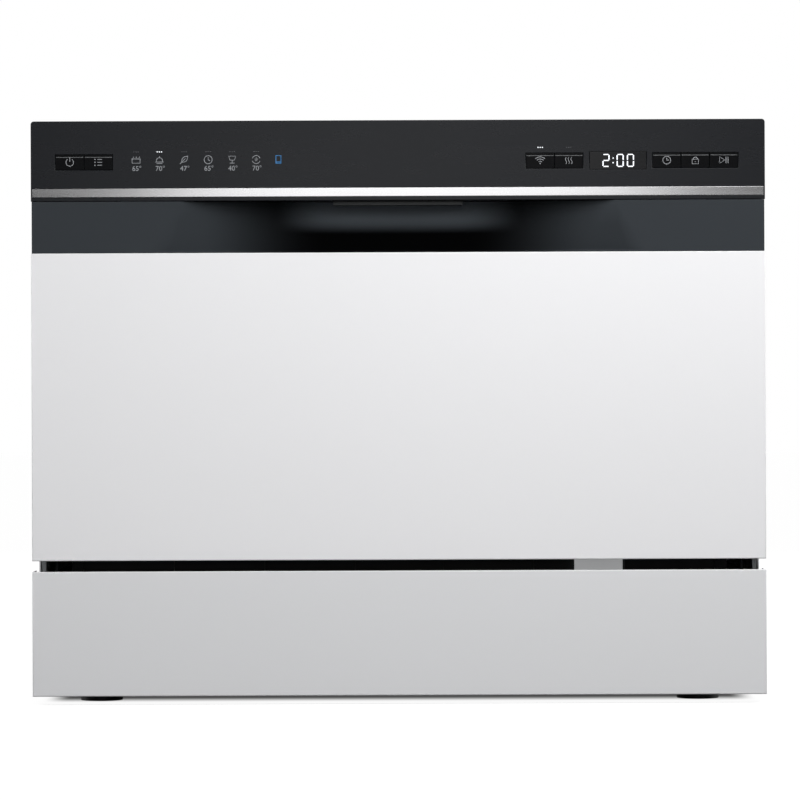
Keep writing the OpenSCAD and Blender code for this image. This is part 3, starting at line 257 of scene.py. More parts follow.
# %% [markdown]
# ## Black plastics
# Three blacks meet at the front: the polished fascia, the fine-grained band and levers, and the plain
# mouldings further in. The polished one keeps a few faint wipe marks in its roughness. The grained one
# has a spark-eroded texture, a fine noise in the bump that turns its highlights soft.

# %% Black plastics
GRAIN_SCALE = 2200.0
GRAIN_DEPTH = 0.00015


def polished_black(name, colour, rough, gloss=0.36):
    material, tree, shader, place = finish_of(name, colour, rough, Specular_IOR_Level=gloss)
    wipe = noise(tree, stretched(tree, place, (6.0, 6.0, 22.0)), 3.0, 4.0, 0.6)
    dust = (noise(tree, place, 1400.0, 1.0) - 0.72).clamp() * 4.0
    roughen(tree, shader, wipe * 0.05 + (rough - 0.02))
    tint(tree, shader, dust.clamp(), colour, toned(colour, 1.0, 0.03))
    return material


def grained(name, colour, rough, depth=0.12, strength=0.0):
    material, tree, shader, place = finish_of(name, colour, rough)
    glow(shader, colour, strength)
    fine = noise(tree, place, GRAIN_SCALE, 2.0, 0.6)
    broad = noise(tree, place, 30.0, 3.0)
    roughen(tree, shader, (broad * 0.12 + fine * 0.08 + (rough - 0.1)).clamp())
    tint(tree, shader, fine, colour, toned(colour, 1.12, 0.004))
    bump(tree, shader, fine, depth, GRAIN_DEPTH)
    return material


FINISH["black_gloss"] = polished_black("fascia_black", (0.0074, 0.0084, 0.0108), 0.27)
FINISH["display_glass"] = polished_black("display_black", (0.003, 0.0032, 0.004), 0.2)
KEY_BLACK = polished_black("key_black", (0.0016, 0.0018, 0.0024), 0.3, gloss=0.14)
FINISH["black_plastic"] = grained("band_black", (0.020, 0.0225, 0.0245), 0.42)
BASE_BLACK = grained("base_black", (0.009, 0.0095, 0.0105), 0.55)
FINISH["dark_plastic"] = grained("moulding_dark", (0.035, 0.037, 0.041), 0.5)
FINISH["grey_plastic"] = grained("moulding_grey", (0.115, 0.125, 0.14), 0.45)
FINISH["pale_plastic"] = grained("moulding_pale", (0.56, 0.575, 0.59), 0.42, depth=0.08)
FINISH["blue_plastic"] = grained("moulding_blue", (0.03, 0.13, 0.34), 0.35)
print("plastics ready:", len(FINISH))

# %% [markdown]
# ## The band with the handle pocket
# The band is grey at its ends. Inside the pocket its colour is painted nearly black as shade, apart
# from a painted highlight under the lever. Both change with the place across and up the band, so the
# finish reads Object coordinates. Squares of the distance from the middle give the same blend on both
# sides.

# %% Pocket finish
# Levels of the painted shade in the pocket and of the painted highlight under the lever.
FACE_SHARE = 0.236
LEAST_SHARE = 0.015
POCKET_HIGHLIGHT_SHARE = 0.8
INNER_X, OUTER_X = 0.050, 0.150
POCKET_HIGHLIGHT_X = 0.095
POCKET_HIGHLIGHT_LOW, POCKET_HIGHLIGHT_HIGH = 0.353, 0.366


def eased(t):
    """A ramp from 0 to 1 with soft ends."""
    t = t.clamp()
    return t * t * (3.0 - t * 2.0)


def pocket_finish(name, dark, light):
    material, tree, shader, place = finish_of(name, light, 0.42, Specular_IOR_Level=0.03)
    across, up = axis_of(tree, place, "X"), axis_of(tree, place, "Z")
    square = across * across
    # Painted shade: face is 1 on the band's grey ends and falls to 0 in the pocket, where the colour
    # turns near black.
    face = eased((square - INNER_X**2) * (1 / (OUTER_X**2 - INNER_X**2)))
    lift = eased((up - POCKET_HIGHLIGHT_LOW) * (1 / (POCKET_HIGHLIGHT_HIGH - POCKET_HIGHLIGHT_LOW)))
    # Painted highlight: a pale patch high in the middle of the pocket, under the lever.
    painted_highlight = eased(1.0 - square * (1 / POCKET_HIGHLIGHT_X**2)) * lift * (1.0 - face)
    fine = noise(tree, place, GRAIN_SCALE, 2.0, 0.6)
    roughen(tree, shader, (fine * 0.1 + (1.0 - face) * 0.2 + 0.38).clamp())
    pale = (face * (1.0 - LEAST_SHARE) + LEAST_SHARE) * FACE_SHARE
    tint(tree, shader, (pale + painted_highlight * POCKET_HIGHLIGHT_SHARE + fine * 0.004).clamp(), dark, light)
    bump(tree, shader, fine, 0.12, GRAIN_DEPTH)
    return material


POCKET = pocket_finish("pocket_black_painted_shade", (0.0002, 0.0002, 0.0003), (0.150, 0.170, 0.192))
# The pale cover in the gap under the door is paler than the other pale mouldings and glows a little:
# painted light that lifts it out of the gap's shade.
GLOWING_PALE_TAB = grained("cover_pale_glowing", (0.86, 0.87, 0.88), 0.4, depth=0.08, strength=0.28)
print("pocket finish ready")

# %% [markdown]
# ## Steel, wire and rubber
# The tub and the liner are satin stainless steel. Its grain runs one way, so the noise is stretched
# along one axis and squeezed across the other, and it drives the roughness as much as the bump. The
# zinc parts are duller, with soft blotches. The racks are wire under a grey nylon coat, and the seals
# are rubber.

# %% Metals
def brushed(name, colour, rough):
    material, tree, shader, place = finish_of(name, colour, rough, 1.0)
    grain = noise(tree, stretched(tree, place, (1.5, 1.5, 320.0)), 9.0, 4.0, 0.65)
    blotch = noise(tree, place, 7.0, 3.0)
    roughen(tree, shader, (grain * 0.18 + blotch * 0.10 + (rough - 0.14)).clamp())
    tint(tree, shader, grain, toned(colour, 0.86), colour)
    bump(tree, shader, grain, 0.12, 0.0001)
    return material


def plated(name, colour, rough):
    material, tree, shader, place = finish_of(name, colour, rough, 1.0)
    swirl = noise(tree, stretched(tree, place, (2.0, 40.0, 40.0)), 6.0, 3.0)
    roughen(tree, shader, swirl * 0.05 + (rough - 0.025))
    tint(tree, shader, swirl, toned(colour, 0.96), colour)
    return material


def zinc(name, colour):
    material, tree, shader, place = finish_of(name, colour, 0.42, 1.0)
    facet = make_node(tree, "TexVoronoi", "Distance", {"Vector": place, "Scale": 160.0})
    fine = noise(tree, place, 500.0, 3.0)
    roughen(tree, shader, (facet * 0.22 + fine * 0.12 + 0.28).clamp())
    tint(tree, shader, facet.clamp(), toned(colour, 0.8), colour)
    return material


FINISH["stainless"] = brushed("tub_steel", (0.60, 0.605, 0.615), 0.36)
FINISH["chrome"] = plated("bright_strip", (0.86, 0.86, 0.87), 0.15)
FINISH["zinc_steel"] = zinc("zinc_plate", (0.50, 0.51, 0.53))
print("metals ready:", len(FINISH))

# %% Rubber, coated wire and circuit board
def rubber(name, colour):
    material, tree, shader, place = finish_of(name, colour, 0.7)
    bloom = noise(tree, place, 60.0, 4.0, 0.6)
    roughen(tree, shader, bloom * 0.2 + 0.58)
    tint(tree, shader, bloom, colour, toned(colour, 1.6, 0.006))
    bump(tree, shader, noise(tree, place, 1500.0), 0.1, 0.0001)
    return material


def coated_wire(name, colour):
    material, tree, shader, place = finish_of(
        name, colour, 0.3, Coat_Weight=0.3, Coat_Roughness=0.2
    )
    pebble = noise(tree, place, 700.0)
    worn = noise(tree, place, 25.0, 3.0)
    roughen(tree, shader, pebble * 0.15 + worn * 0.1 + 0.2)
    tint(tree, shader, worn, toned(colour, 0.88), colour)
    bump(tree, shader, pebble, 0.12, 0.0002)
    return material


def circuit(name):
    material, tree, shader, place = finish_of(name, (0.01, 0.10, 0.05), 0.35)
    sockets = {"Vector": place, "Scale": 220.0, "Distortion": 6.0}
    tracks = make_node(tree, "TexWave", "Color", sockets, bands_direction="X")
    roughen(tree, shader, tracks * 0.2 + 0.3)
    tint(tree, shader, (tracks - 0.5).clamp() * 1.5, (0.008, 0.075, 0.035), (0.02, 0.15, 0.07))
    return material


FINISH["rubber"] = rubber("seal_rubber", (0.016, 0.016, 0.018))
FINISH["rack_coating"] = coated_wire("coated_wire", (0.25, 0.265, 0.285))
FINISH["board_green"] = circuit("circuit_board")
print("finishes:", sorted(FINISH))

# %% [markdown]
# ## Ink and light on the fascia
# The signs are printed in grey and white ink, and the lamps and digits glow a little. The printed inks
# glow faintly too, which is painted light. A print on a real fascia is never one flat tone, so the ink
# keeps a trace of noise in its colour.

# %% Inks and lamps
def ink(name, colour, strength):
    material, tree, shader, place = finish_of(name, colour, 0.45)
    speck = noise(tree, place, 2500.0)
    tint(tree, shader, speck, toned(colour, 0.85), colour)
    # Every ink glows a little: real light for the lamps and digits, painted light for the printed inks.
    glow(shader, colour, strength)
    return material


# The printed inks below glow as well: painted light.
GLOWING_INK_GREY = ink("ink_grey_glowing", (0.24, 0.25, 0.265), 0.22)
# A painted highlight for the top edges of the keys.
KEY_GLINT_INK = ink("ink_edge", (0.13, 0.135, 0.14), 0.10)
GLOWING_INK_DIM = ink("ink_dim_glowing", (0.09, 0.093, 0.10), 0.06)
GLOWING_INK_WHITE = ink("ink_white_glowing", (0.28, 0.29, 0.305), 0.22)
LAMP_WHITE = ink("lamp_white", (0.85, 0.88, 0.92), 0.75)
LAMP_BLUE = ink("lamp_blue", (0.02, 0.125, 0.30), 0.45)
print("inks ready")

# %% [markdown]
# ## The room: a pale floor and a white background
# The photograph is a cut-out on white with a dark shadow under the plinth. The floor is a real surface
# that catches the cabinet's shadow, but camera rays see it mostly as a glow, so that it ends up as
# white as the background. Three masks paint shade into that glow: a painted shadow under the cabinet,
# set by place alone, a thin one where something touches or nearly touches the floor, and a broad faint
# one in front of the cabinet, under the open door. The last two follow the geometry by ambient
# occlusion. All other rays meet a dim grey floor, so that little light comes back up from it.

# %% Floor
FLOOR_SIZE = 14.0
FLOOR_BOUNCE = 0.20
FLOOR_GLOW = 0.90
GLOW_LEVEL = 1.07
SHADOW_DEPTH = 0.925
HALF_X, HALF_Y = 0.275, 0.25
FADE_X, FADE_Y = (0.002, 0.020), (0.024, 0.044)
CONTACT_REACH, CONTACT_GAIN, CONTACT_LOSS = 0.014, 2.8, 0.1
SHADE_REACH, SHADE_GAIN, SHADE_FADE, SHADE_DEPTH = 0.30, 2.1, 0.05, 0.35


def well_inside(value, half, start, width):
    """0 at a distance of half from the middle, and 1 from start + width further in."""
    inside = (half**2 - value * value) * (0.5 / half)
    return eased((inside - start) * (1 / width))


def under_foot(tree, place):
    """1 on the floor well inside the cabinet's outline, fading to 0 towards its edges: the mask of the
    painted shadow under the cabinet.
    """
    x, y = axis_of(tree, place, "X"), axis_of(tree, place, "Y")
    return well_inside(x, HALF_X, *FADE_X) * well_inside(y, HALF_Y, *FADE_Y)


def open_sky(tree, reach):
    """How much of the sky a point of the floor sees, if only things nearer than the reach count."""
    return make_node(tree, "AmbientOcclusion", "AO", {"Distance": reach})


def floor_finish():
    material, tree, matt, place = finish_of("floor_white", (0.80, 0.80, 0.80), 0.9)
    contact = (open_sky(tree, CONTACT_REACH) * CONTACT_GAIN - CONTACT_LOSS).clamp()
    in_front = ((axis_of(tree, place, "Y") + HALF_Y) * (-1 / SHADE_FADE)).clamp()
    covered = 1.0 - (open_sky(tree, SHADE_REACH) * SHADE_GAIN).clamp()
    shade = 1.0 - covered * in_front * SHADE_DEPTH
    # Painted shadow: the camera's glow is darkened under the cabinet by place, and near contacts and
    # under the open door by ambient occlusion.
    lit = contact * shade * (1.0 - under_foot(tree, place) * SHADOW_DEPTH)
    white = make_node(tree, "Emission", 0, {"Color": lit, "Strength": GLOW_LEVEL})
    painted = Sock(tree, matt.outputs["BSDF"])
    pictured = make_node(tree, "MixShader", 0, {0: FLOOR_GLOW, 1: painted, 2: white})
    dim = make_node(tree, "BsdfDiffuse", 0, {"Color": (*(FLOOR_BOUNCE,) * 3, 1.0)})
    camera_ray = make_node(tree, "LightPath", "Is Camera Ray")
    both = make_node(tree, "MixShader", 0, {0: camera_ray, 1: dim, 2: pictured})
    connect(tree, tree.nodes["Material Output"].inputs["Surface"], both)
    return material


def add_floor():
    bm = bmesh.new()
    bmesh.ops.create_grid(bm, x_segments=2, y_segments=2, size=FLOOR_SIZE)
    mesh = bpy.data.meshes.new("floor")
    bm.to_mesh(mesh)
    bm.free()
    floor = bpy.data.objects.new("floor", mesh)
    bpy.context.scene.collection.objects.link(floor)
    mesh.materials.append(floor_finish())
    return floor


floor = add_floor()
print("floor:", round(floor.dimensions.x, 1), "m across")

# %% [markdown]
# ## The room behind the camera
# Bright metal has to see a room as well: for reflections the world is white behind the dishwasher and
# dark behind the camera, which gives the bright strip its dark ends. The camera itself sees plain
# white, and soft light comes from all round at one low level.

# %% World
ROOM_TURN = 1.6
ROOM_DARK = 0.10
DIFFUSE_LEVEL = 0.335


def add_world():
    world = bpy.data.worlds.new("room")
    bpy.context.scene.world = world
    world.use_nodes = True
    tree = world.node_tree
    back = tree.nodes["Background"]
    ahead = axis_of(tree, make_node(tree, "TexCoord", "Generated"), "Y")
    room = (ahead * ROOM_TURN + 0.5).clamp() * (1.0 - ROOM_DARK) + ROOM_DARK
    camera_ray, glossy_ray, glass_ray = (
        make_node(tree, "LightPath", f"Is {kind} Ray") for kind in ("Camera", "Glossy", "Transmission")
    )
    mirror_ray = (glossy_ray + glass_ray).clamp()
    plain = (1.0 - camera_ray) * (1.0 - mirror_ray) * DIFFUSE_LEVEL
    strength = camera_ray + mirror_ray * (1.0 - camera_ray) * room + plain
    connect(tree, back.inputs["Strength"], strength)
    back.inputs["Color"].default_value = (1.0, 1.0, 1.0, 1.0)


add_world()
print("world level for soft light:", DIFFUSE_LEVEL)

# %% [markdown]
# ## Soft lamps
# The door is lightest at its upper right and darkest at its lower left, by a tenth or so. A large soft
# lamp high in front gives that slope. A second one stands lower and isn't mirrored: it lights the door
# but grazes the worktop, which would turn plain white under the high lamp alone. A tall panel straight
# behind the camera is what the bright strip mirrors in its middle. Weak lamps beside and behind the
# cabinet light its other faces and miss the door.

# %% Lamps
DOOR_SPOT = (0.0, -0.25, 0.30)


def add_lamp(name, where, look_at, size, watts, size_y=None):
    data = bpy.data.lights.new(name, "AREA")
    data.shape = "RECTANGLE"
    data.size = size
    data.size_y = size_y or size
    data.energy = watts
    lamp = bpy.data.objects.new(name, data)
    lamp.visible_camera = False
    bpy.context.scene.collection.objects.link(lamp)
    turn = (Vector(look_at) - Vector(where)).to_track_quat("-Z", "Y")
    lamp.matrix_world = Matrix.Translation(where) @ turn.to_matrix().to_4x4()
    return lamp


add_lamp("key", (0.43, -0.98, 1.18), (0.05, -0.25, 0.31), 1.5, 10.0, 0.6)
low_lamp = add_lamp("low", (0.20, -0.82, 0.66), DOOR_SPOT, 1.6, 3.9, 0.4)
low_lamp.visible_glossy = False
add_lamp("fill", (-1.9, -1.7, 1.3), DOOR_SPOT, 1.4, 8.0)
add_lamp("strip_panel", (0.02, -3.9, 0.42), (0.02, -0.25, 0.38), 0.80, 4.7, 1.6)
for side in (-1, 1):
    add_lamp("side", (side * 2.1, 0.35, 0.65), (0.0, 0.05, 0.22), 1.0, 7.5)
add_lamp("rear", (0.3, 2.6, 0.9), (0.0, 0.1, 0.22), 1.4, 17.0)

# %% [markdown]
# ## Every piece gets its finish
# The record says which material slot each node belongs to. The node's one material slot is simply
# pointed at the finish made above, so that the shape from the construction stays untouched. The band,
# the pale cover, the base tray, the plinth and the keys have a finish of their own.

# %% Dress the nodes
SLOT_OF = {row["node"]: row["material_slot"] for row in frame["record"]["subparts"]}
NODE = frame["nodes"]
BODY_OF = {name: NODE[name]["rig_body"] for name in NODE}


def dress(obj, material):
    obj.data.materials.clear()
    obj.data.materials.append(material)


for name, obj in NODE.items():
    dress(obj, FINISH[SLOT_OF[name]])
# The pocket's painted shade and highlight, the pale cover's painted glow and the plinth's painted shade
# come with these finishes.
dress(NODE["handle_band"], POCKET)
dress(NODE["base_front_cover"], GLOWING_PALE_TAB)
dress(NODE["base_tray"], BASE_BLACK)
dress(NODE["plinth_panel"], PLINTH_SHADED_WHITE)
for key in (n for n in NODE if n.endswith("_key")):
    dress(NODE[key], KEY_BLACK)
print("dressed", len(NODE), "nodes in", len(set(SLOT_OF.values())), "finishes")

# %% [markdown]
# ## Signs printed on the fascia
# Each sign is a few thin strokes. A stroke is a spline of one curve with a round bevel, which gives it
# a constant width and rounded ends like a real print. The curve is made a mesh, pressed almost flat
# and laid on the face that carries it. The strokes are written in millimetres around the sign's middle.

# %% A helper for printed strokes
PRINT_T = 0.04 * MM
FACE_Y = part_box("control_fascia")[0].y
TEXT_DEPTH = 0.1
DIGIT_SHARE = 0.69


def arc(cx, cz, r, start, end, steps=14):
    angles = [math.radians(start + (end - start) * i / steps) for i in range(steps + 1)]
    return [(cx + r * math.cos(a), cz + r * math.sin(a)) for a in angles]


def ring(cx, cz, r):
    return arc(cx, cz, r, 0, 360, 24)


def box_line(x0, x1, z0, z1):
    return [(x0, z0), (x1, z0), (x1, z1), (x0, z1), (x0, z0)]


def round_curve(name, radius, sides):
    """A curve without splines yet, whose splines get a round section and closed ends."""
    curve = bpy.data.curves.new(name, "CURVE")
    curve.dimensions = "3D"
    curve.bevel_depth = radius
    curve.bevel_resolution = sides
    curve.use_fill_caps = True
    return curve


def add_spline(curve, points, closed=False):
    spline = curve.splines.new("POLY")
    spline.points.add(len(points) - 1)
    for slot, point in zip(spline.points, points):
        slot.co = (*point, 1.0)
    spline.use_cyclic_u = closed


def mesh_of(name, data):
    """The mesh that a curve or a text makes."""
    source = bpy.data.objects.new(name + "_source", data)
    bpy.context.scene.collection.objects.link(source)
    bpy.context.view_layer.update()
    depsgraph = bpy.context.evaluated_depsgraph_get()
    mesh = bpy.data.meshes.new_from_object(source.evaluated_get(depsgraph))
    bpy.data.objects.remove(source)
    return mesh


def add_strokes(curve, strokes, cx, cz, scale=1.0):
    for points in strokes:
        closed = len(points) > 2 and math.dist(points[0], points[-1]) < 1e-6
        points = points[:-1] if closed else points
        add_spline(curve, [(cx + x * scale, 0.0, cz + z * scale) for x, z in points], closed)


def print_signs(name, signs, width, material, body="door", y=FACE_Y):
    """Prints (strokes, x, z) or (strokes, x, z, scale) as one thin mesh on the plane y."""
    curve = round_curve(name, width / 2, 1)
    for strokes, *place in signs:
        add_strokes(curve, strokes, *place)
    mesh = mesh_of(name, curve)
    reach = max(abs(v.co.y) for v in mesh.vertices)
    for v in mesh.vertices:
        v.co = (v.co.x * MM, y + v.co.y / reach * PRINT_T, v.co.z * MM)
    mesh.materials.clear()
    mesh.materials.append(material)
    mesh.name = name
    piece = bpy.data.objects.new(name, mesh)
    bpy.context.scene.collection.objects.link(piece)
    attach(piece, body)


def print_number(name, words, x, z, height):
    """The mesh of a few digits whose middle lies at x, z on the fascia."""
    text = bpy.data.curves.new(name, "FONT")
    text.body = words
    text.size = height / DIGIT_SHARE
    text.align_x = "CENTER"
    text.align_y = "CENTER"
    text.extrude = TEXT_DEPTH
    text.resolution_u = 3
    mesh = mesh_of(name, text)
    for v in mesh.vertices:
        v.co = ((v.co.x + x) * MM, FACE_Y - v.co.z / TEXT_DEPTH * PRINT_T, (v.co.y + z) * MM)
    return mesh


print("the fascia's face lies at y =", round(FACE_Y, 5))

# %% [markdown]
# ## Signs of the six programmes
# Six pictograms stand in a row with their temperatures under them and a lamp over each: a sink, a soup
# pot, a leaf, a clock, a glass and a star in a turning arrow. They are drawn from plain arcs and lines.
# The second lamp is lit. A small blue sign for a full salt tank closes the row.

# %% Programme signs
SIGN_X = (-196.0, -178.5, -160.0, -142.0, -124.0, -106.0)
SIGN_Z = 408.3
NUMBER_Z = 401.7
LAMP_Z = 414.3
SALT_X = -89.4
LIT = 1
LEAF_FOOT, LEAF_LENGTH, LEAF_BULGE = -1.9, 4.6, 1.7
DIAGONAL = 0.707


def leaf_side(side):
    """One edge of a leaf that leans by 45 degrees."""
    steps = [i / 12 for i in range(13)]
    along = [LEAF_FOOT + LEAF_LENGTH * t for t in steps]
    aside = [side * LEAF_BULGE * math.sin(math.pi * t) * DIAGONAL for t in steps]
    return [(a + b, a - b) for a, b in zip(along, aside)]


def star_point(i):
    turn = math.radians(144 * i)
    return 1.4 * math.sin(turn), 1.4 * math.cos(turn)


DROPS = [[(x, 1.6), (x + 0.4, 2.5)] for x in (-2.2, 0.0, 2.2)]
BASIN = [[(-3, 0.6), (-3, -2.4), (3, -2.4), (3, 0.6)], [(-3.2, 0.8), (3.2, 0.8)]] + DROPS
POT = [
    arc(0, -0.6, 2.3, 200, -20),
    [(-3.1, -1.6), (3.1, -1.6)],
    [(-2.2, -2.7), (2.2, -2.7)],
    [(0, 1.8), (0, 2.7)],
]
LEAF = [leaf_side(1), leaf_side(-1), [(-3.0, -3.0), (1.0, 1.0)]]
TIMER = [ring(0, 0, 3.0), [(0, 1.9), (0, 0), (1.5, -0.9)]]
GLASS = [
    [(-2.6, 2.6), (-1.7, -0.4), (1.7, -0.4), (2.6, 2.6), (-2.6, 2.6)],
    [(0, -0.4), (0, -2.6)],
    [(-1.7, -2.6), (1.7, -2.6)],
]
STAR = [[star_point(i) for i in range(6)], arc(0, 0, 3.0, 20, 160), arc(0, 0, 3.0, 200, 340)]
SALT = [box_line(-1.9, 1.9, -2.9, 2.9), [(-1.9, -1.9), (1.9, -1.9)]]
DASH = [[(x, 0), (x + 0.8, 0)] for x in (-2.0, -0.4, 1.2)]

programmes = [(sign, x, SIGN_Z) for sign, x in zip((BASIN, POT, LEAF, TIMER, GLASS, STAR), SIGN_X)]
unlit = [(DASH, x, LAMP_Z) for i, x in enumerate(SIGN_X) if i != LIT]
print_signs("programme_signs", programmes, 0.55, GLOWING_INK_GREY)
print_signs("programme_lamps", unlit, 0.55, GLOWING_INK_DIM)
print_signs("programme_lamp_lit", [(DASH, SIGN_X[LIT], LAMP_Z)], 0.8, LAMP_WHITE)
print_signs("salt_sign", [(SALT, SALT_X, SIGN_Z)], 0.85, LAMP_BLUE)
print("signs drawn:", len(SIGN_X) + 1)

# %% Temperatures
TEMPERATURES = (65, 70, 47, 65, 40, 70)
NUMBER_H = 3.6
DEGREE_W = 0.6


def add_temperatures():
    bm = bmesh.new()
    for degrees, x in zip(TEMPERATURES, SIGN_X):
        mesh = print_number("degrees", f"{degrees}°", x + DEGREE_W, NUMBER_Z, NUMBER_H)
        bm.from_mesh(mesh)
        bpy.data.meshes.remove(mesh)
    bmesh.ops.recalc_face_normals(bm, faces=bm.faces)
    mesh = bpy.data.meshes.new("temperatures")
    bm.to_mesh(mesh)
    bm.free()
    mesh.materials.append(GLOWING_INK_GREY)
    piece = bpy.data.objects.new("temperatures", mesh)
    bpy.context.scene.collection.objects.link(piece)
    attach(piece, "door")


add_temperatures()
print("temperatures printed:", len(TEMPERATURES))

# %% [markdown]
# ## Signs on the keys
# A sign on a key has to go in with the key, so each one is its own small mesh that rides on the key's
# body. The fine grey line along each key's top is a painted highlight: it stands for the key's edge,
# where that catches the studio light. The edge itself is too small to show it at the picture's size.

# %% Key signs
KEY_MIDDLE_UP = 5.65
SIGN_UP = 1.5
SIGN_SCALE = 0.94
GLINT_UP = 5.25
LINE_W = 0.5
KEY_GLINT_STROKE = [[(-10.2, 0), (10.2, 0)]]
ROWS = (2.3, 0.0, -2.3)
POWER = [arc(0, 0, 3.0, 125, 415, 22), [(0, 0.6), (0, 3.7)]]
LIST = [[(-0.8, z), (3.0, z)] for z in ROWS] + [ring(-2.7, z, 0.25) for z in ROWS]
WAVES = [arc(0, -2.4, r, 45, 135, 10) for r in (1.9, 3.7, 5.4)] + [ring(0, -2.2, 0.3)]
STEAM = [
    [(x + 0.6 * math.sin(t * 1.6), -2.6 + t * 1.3) for t in range(5)] for x in (-2.2, 0.0, 2.2)
]
CLOCK = [ring(0, 0, 3.1), [(0, 1.9), (0, 0), (1.7, 0)]]
LOCK = [box_line(-2.5, 2.5, -3.0, 0.6), arc(0, 0.6, 1.7, 0, 180), [(0, -0.8), (0, -1.7)]]
ARROW = [(-3.4, -2.6), (-3.4, 2.6), (0.6, 0), (-3.4, -2.6)]
START = [ARROW] + [[(x, -2.6), (x, 2.6)] for x in (1.7, 3.3)]
KEY_SIGNS = {
    "power_key": POWER,
    "program_key": LIST,
    "remote_key": WAVES,
    "dry_key": STEAM,
    "delay_key": CLOCK,
    "lock_key": LOCK,
    "start_key": START,
}
key_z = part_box("power_key")[0].z / MM + KEY_MIDDLE_UP
for key, sign in KEY_SIGNS.items():
    low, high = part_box(key)
    body, x = BODY_OF[key], ((low + high) / 2 / MM).x
    signs = [(sign, x, key_z + SIGN_UP, SIGN_SCALE)]
    print_signs(key + "_sign", signs, LINE_W, GLOWING_INK_WHITE, body, low.y)
    # The line along the key's top is a painted highlight of its edge.
    print_signs(key + "_edge", [(KEY_GLINT_STROKE, x, key_z + GLINT_UP)], LINE_W, KEY_GLINT_INK, body, low.y)
print("key signs:", len(KEY_SIGNS), "their middle lies", round(key_z, 1), "mm up")

# %% [markdown]
# ## The display
# The time left is shown by seven-segment digits behind the dark window. Each segment is one short
# stroke. The lamp of the third key is lit, and that of the fourth is not.

# %% Digits
SEGMENTS = {
    "a": [(-2.0, 4.75), (2.0, 4.75)],
    "b": [(2.4, 4.3), (2.4, 0.5)],
    "c": [(2.4, -0.5), (2.4, -4.3)],
    "d": [(-2.0, -4.75), (2.0, -4.75)],
    "e": [(-2.4, -0.5), (-2.4, -4.3)],
    "f": [(-2.4, 4.3), (-2.4, 0.5)],
    "g": [(-2.0, 0.0), (2.0, 0.0)],
}
SHOWN = ((156.0, "abged"), (166.6, "abcdef"), (174.3, "abcdef"))
COLON_X = 161.3
COLON = [ring(0, 1.7, 0.12), ring(0, -1.7, 0.12)]
KEY_LAMP_Z = 416.6
window_low, window_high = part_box("display_window")
digit_z = (window_low.z + window_high.z) / 2 / MM
digits = [([SEGMENTS[s] for s in lit], x, digit_z, SIGN_SCALE) for x, lit in SHOWN]
digits.append((COLON, COLON_X, digit_z))
print_signs("display_digits", digits, 0.9, LAMP_WHITE, y=window_low.y)
print_signs("key_lamp_lit", [(DASH, 106.7, KEY_LAMP_Z)], 0.75, LAMP_WHITE)
print_signs("key_lamp", [(DASH, 128.1, KEY_LAMP_Z)], LINE_W, GLOWING_INK_DIM)
print("display middle:", round(digit_z, 1))

# %% [markdown]
# ## Rounded edges
# Bent sheet and moulded plastic never have knife edges. A rounding larger than the sheet is thick
# leaves stray faces, so the white sheets are rounded by a little less than their thickness, and most
# mouldings by a third of a millimetre. Those small roundings catch the light as thin bright lines, as
# along the plinth's top in the photograph. Each solid is copied, its triangles are joined to clean
# faces, and then chosen edges are bevelled. A Weighted Normal modifier keeps the large faces' shading
# flat beside the small ones. The copy stands for its node, which stays, hidden. The copy stands for
# its node, which stays for the contacts.

# %% A helper for rounded copies
SOFT_ANGLE = math.radians(28)
FLAT_ANGLE = math.radians(0.6)
EDGE_ANGLE = math.radians(40)
softened = {}


def clean_copy(node):
    """A bmesh of the node's solid with merged vertices and flat faces joined."""
    bm = bmesh.new()
    bm.from_mesh(NODE[node].data)
    bmesh.ops.remove_doubles(bm, verts=bm.verts, dist=2e-6)
    bmesh.ops.dissolve_limit(
        bm, angle_limit=FLAT_ANGLE, verts=bm.verts, edges=bm.edges, delimit={"NORMAL"}
    )
    return bm


def sharp_edges(bm):
    return [e for e in bm.edges if e.is_manifold and e.calc_face_angle(0.0) > EDGE_ANGLE]


def finish_piece(bm, name, body, material, nodes=()):
    """Makes the bmesh an object at the origin, smooth but for its real corners, and returns it."""
    mesh = bpy.data.meshes.new(name)
    bm.to_mesh(mesh)
    bm.free()
    mesh.shade_smooth()
    mesh.set_sharp_from_angle(angle=SOFT_ANGLE)
    mesh.materials.append(material)
    piece = bpy.data.objects.new(name, mesh)
    bpy.context.scene.collection.objects.link(piece)
    flat_faces = piece.modifiers.new("flat_faces", "WEIGHTED_NORMAL")
    flat_faces.keep_sharp = True
    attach(piece, body)
    if nodes:
        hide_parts(*nodes)
    return piece


def soften(node, *cuts):
    """cuts are (radius in mm, segments, test of an edge's two ends in mm)."""
    bm = clean_copy(node)
    for radius, segments, wanted in cuts:
        chosen = [e for e in sharp_edges(bm) if wanted(*(v.co / MM for v in e.verts))]
        bmesh.ops.bevel(
            bm, geom=chosen, offset=radius * MM, offset_type="OFFSET", affect="EDGES",
            segments=segments, profile=0.5, material=-1, clamp_overlap=True,
        )
    bmesh.ops.remove_doubles(bm, verts=bm.verts, dist=1e-6)
    paint = NODE[node].data.materials[0]
    softened[node] = finish_piece(bm, node + "_soft", BODY_OF[node], paint, [node])


def everywhere(a, b):
    return True


def at(axis, value, slack=0.05):
    return lambda a, b: abs(a[axis] - value) < slack and abs(b[axis] - value) < slack


print("rounding helper ready")

# %% Door, plinth, cabinet and fascia
CORNER_SLACK = 0.1
skin_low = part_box("door_skin")[0] / MM
plinth_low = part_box("plinth_panel")[0] / MM
cover_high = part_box("top_cover")[1] / MM
fascia_low, fascia_high = (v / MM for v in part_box("control_fascia"))


def fascia_corner(a, b):
    """The edges that run from front to back at the fascia's two top corners."""
    on_top = min(a.z, b.z) > fascia_high.z - CORNER_SLACK
    at_end = abs(a.x) > fascia_high.x - CORNER_SLACK
    return on_top and at_end and abs(a.x - b.x) < CORNER_SLACK


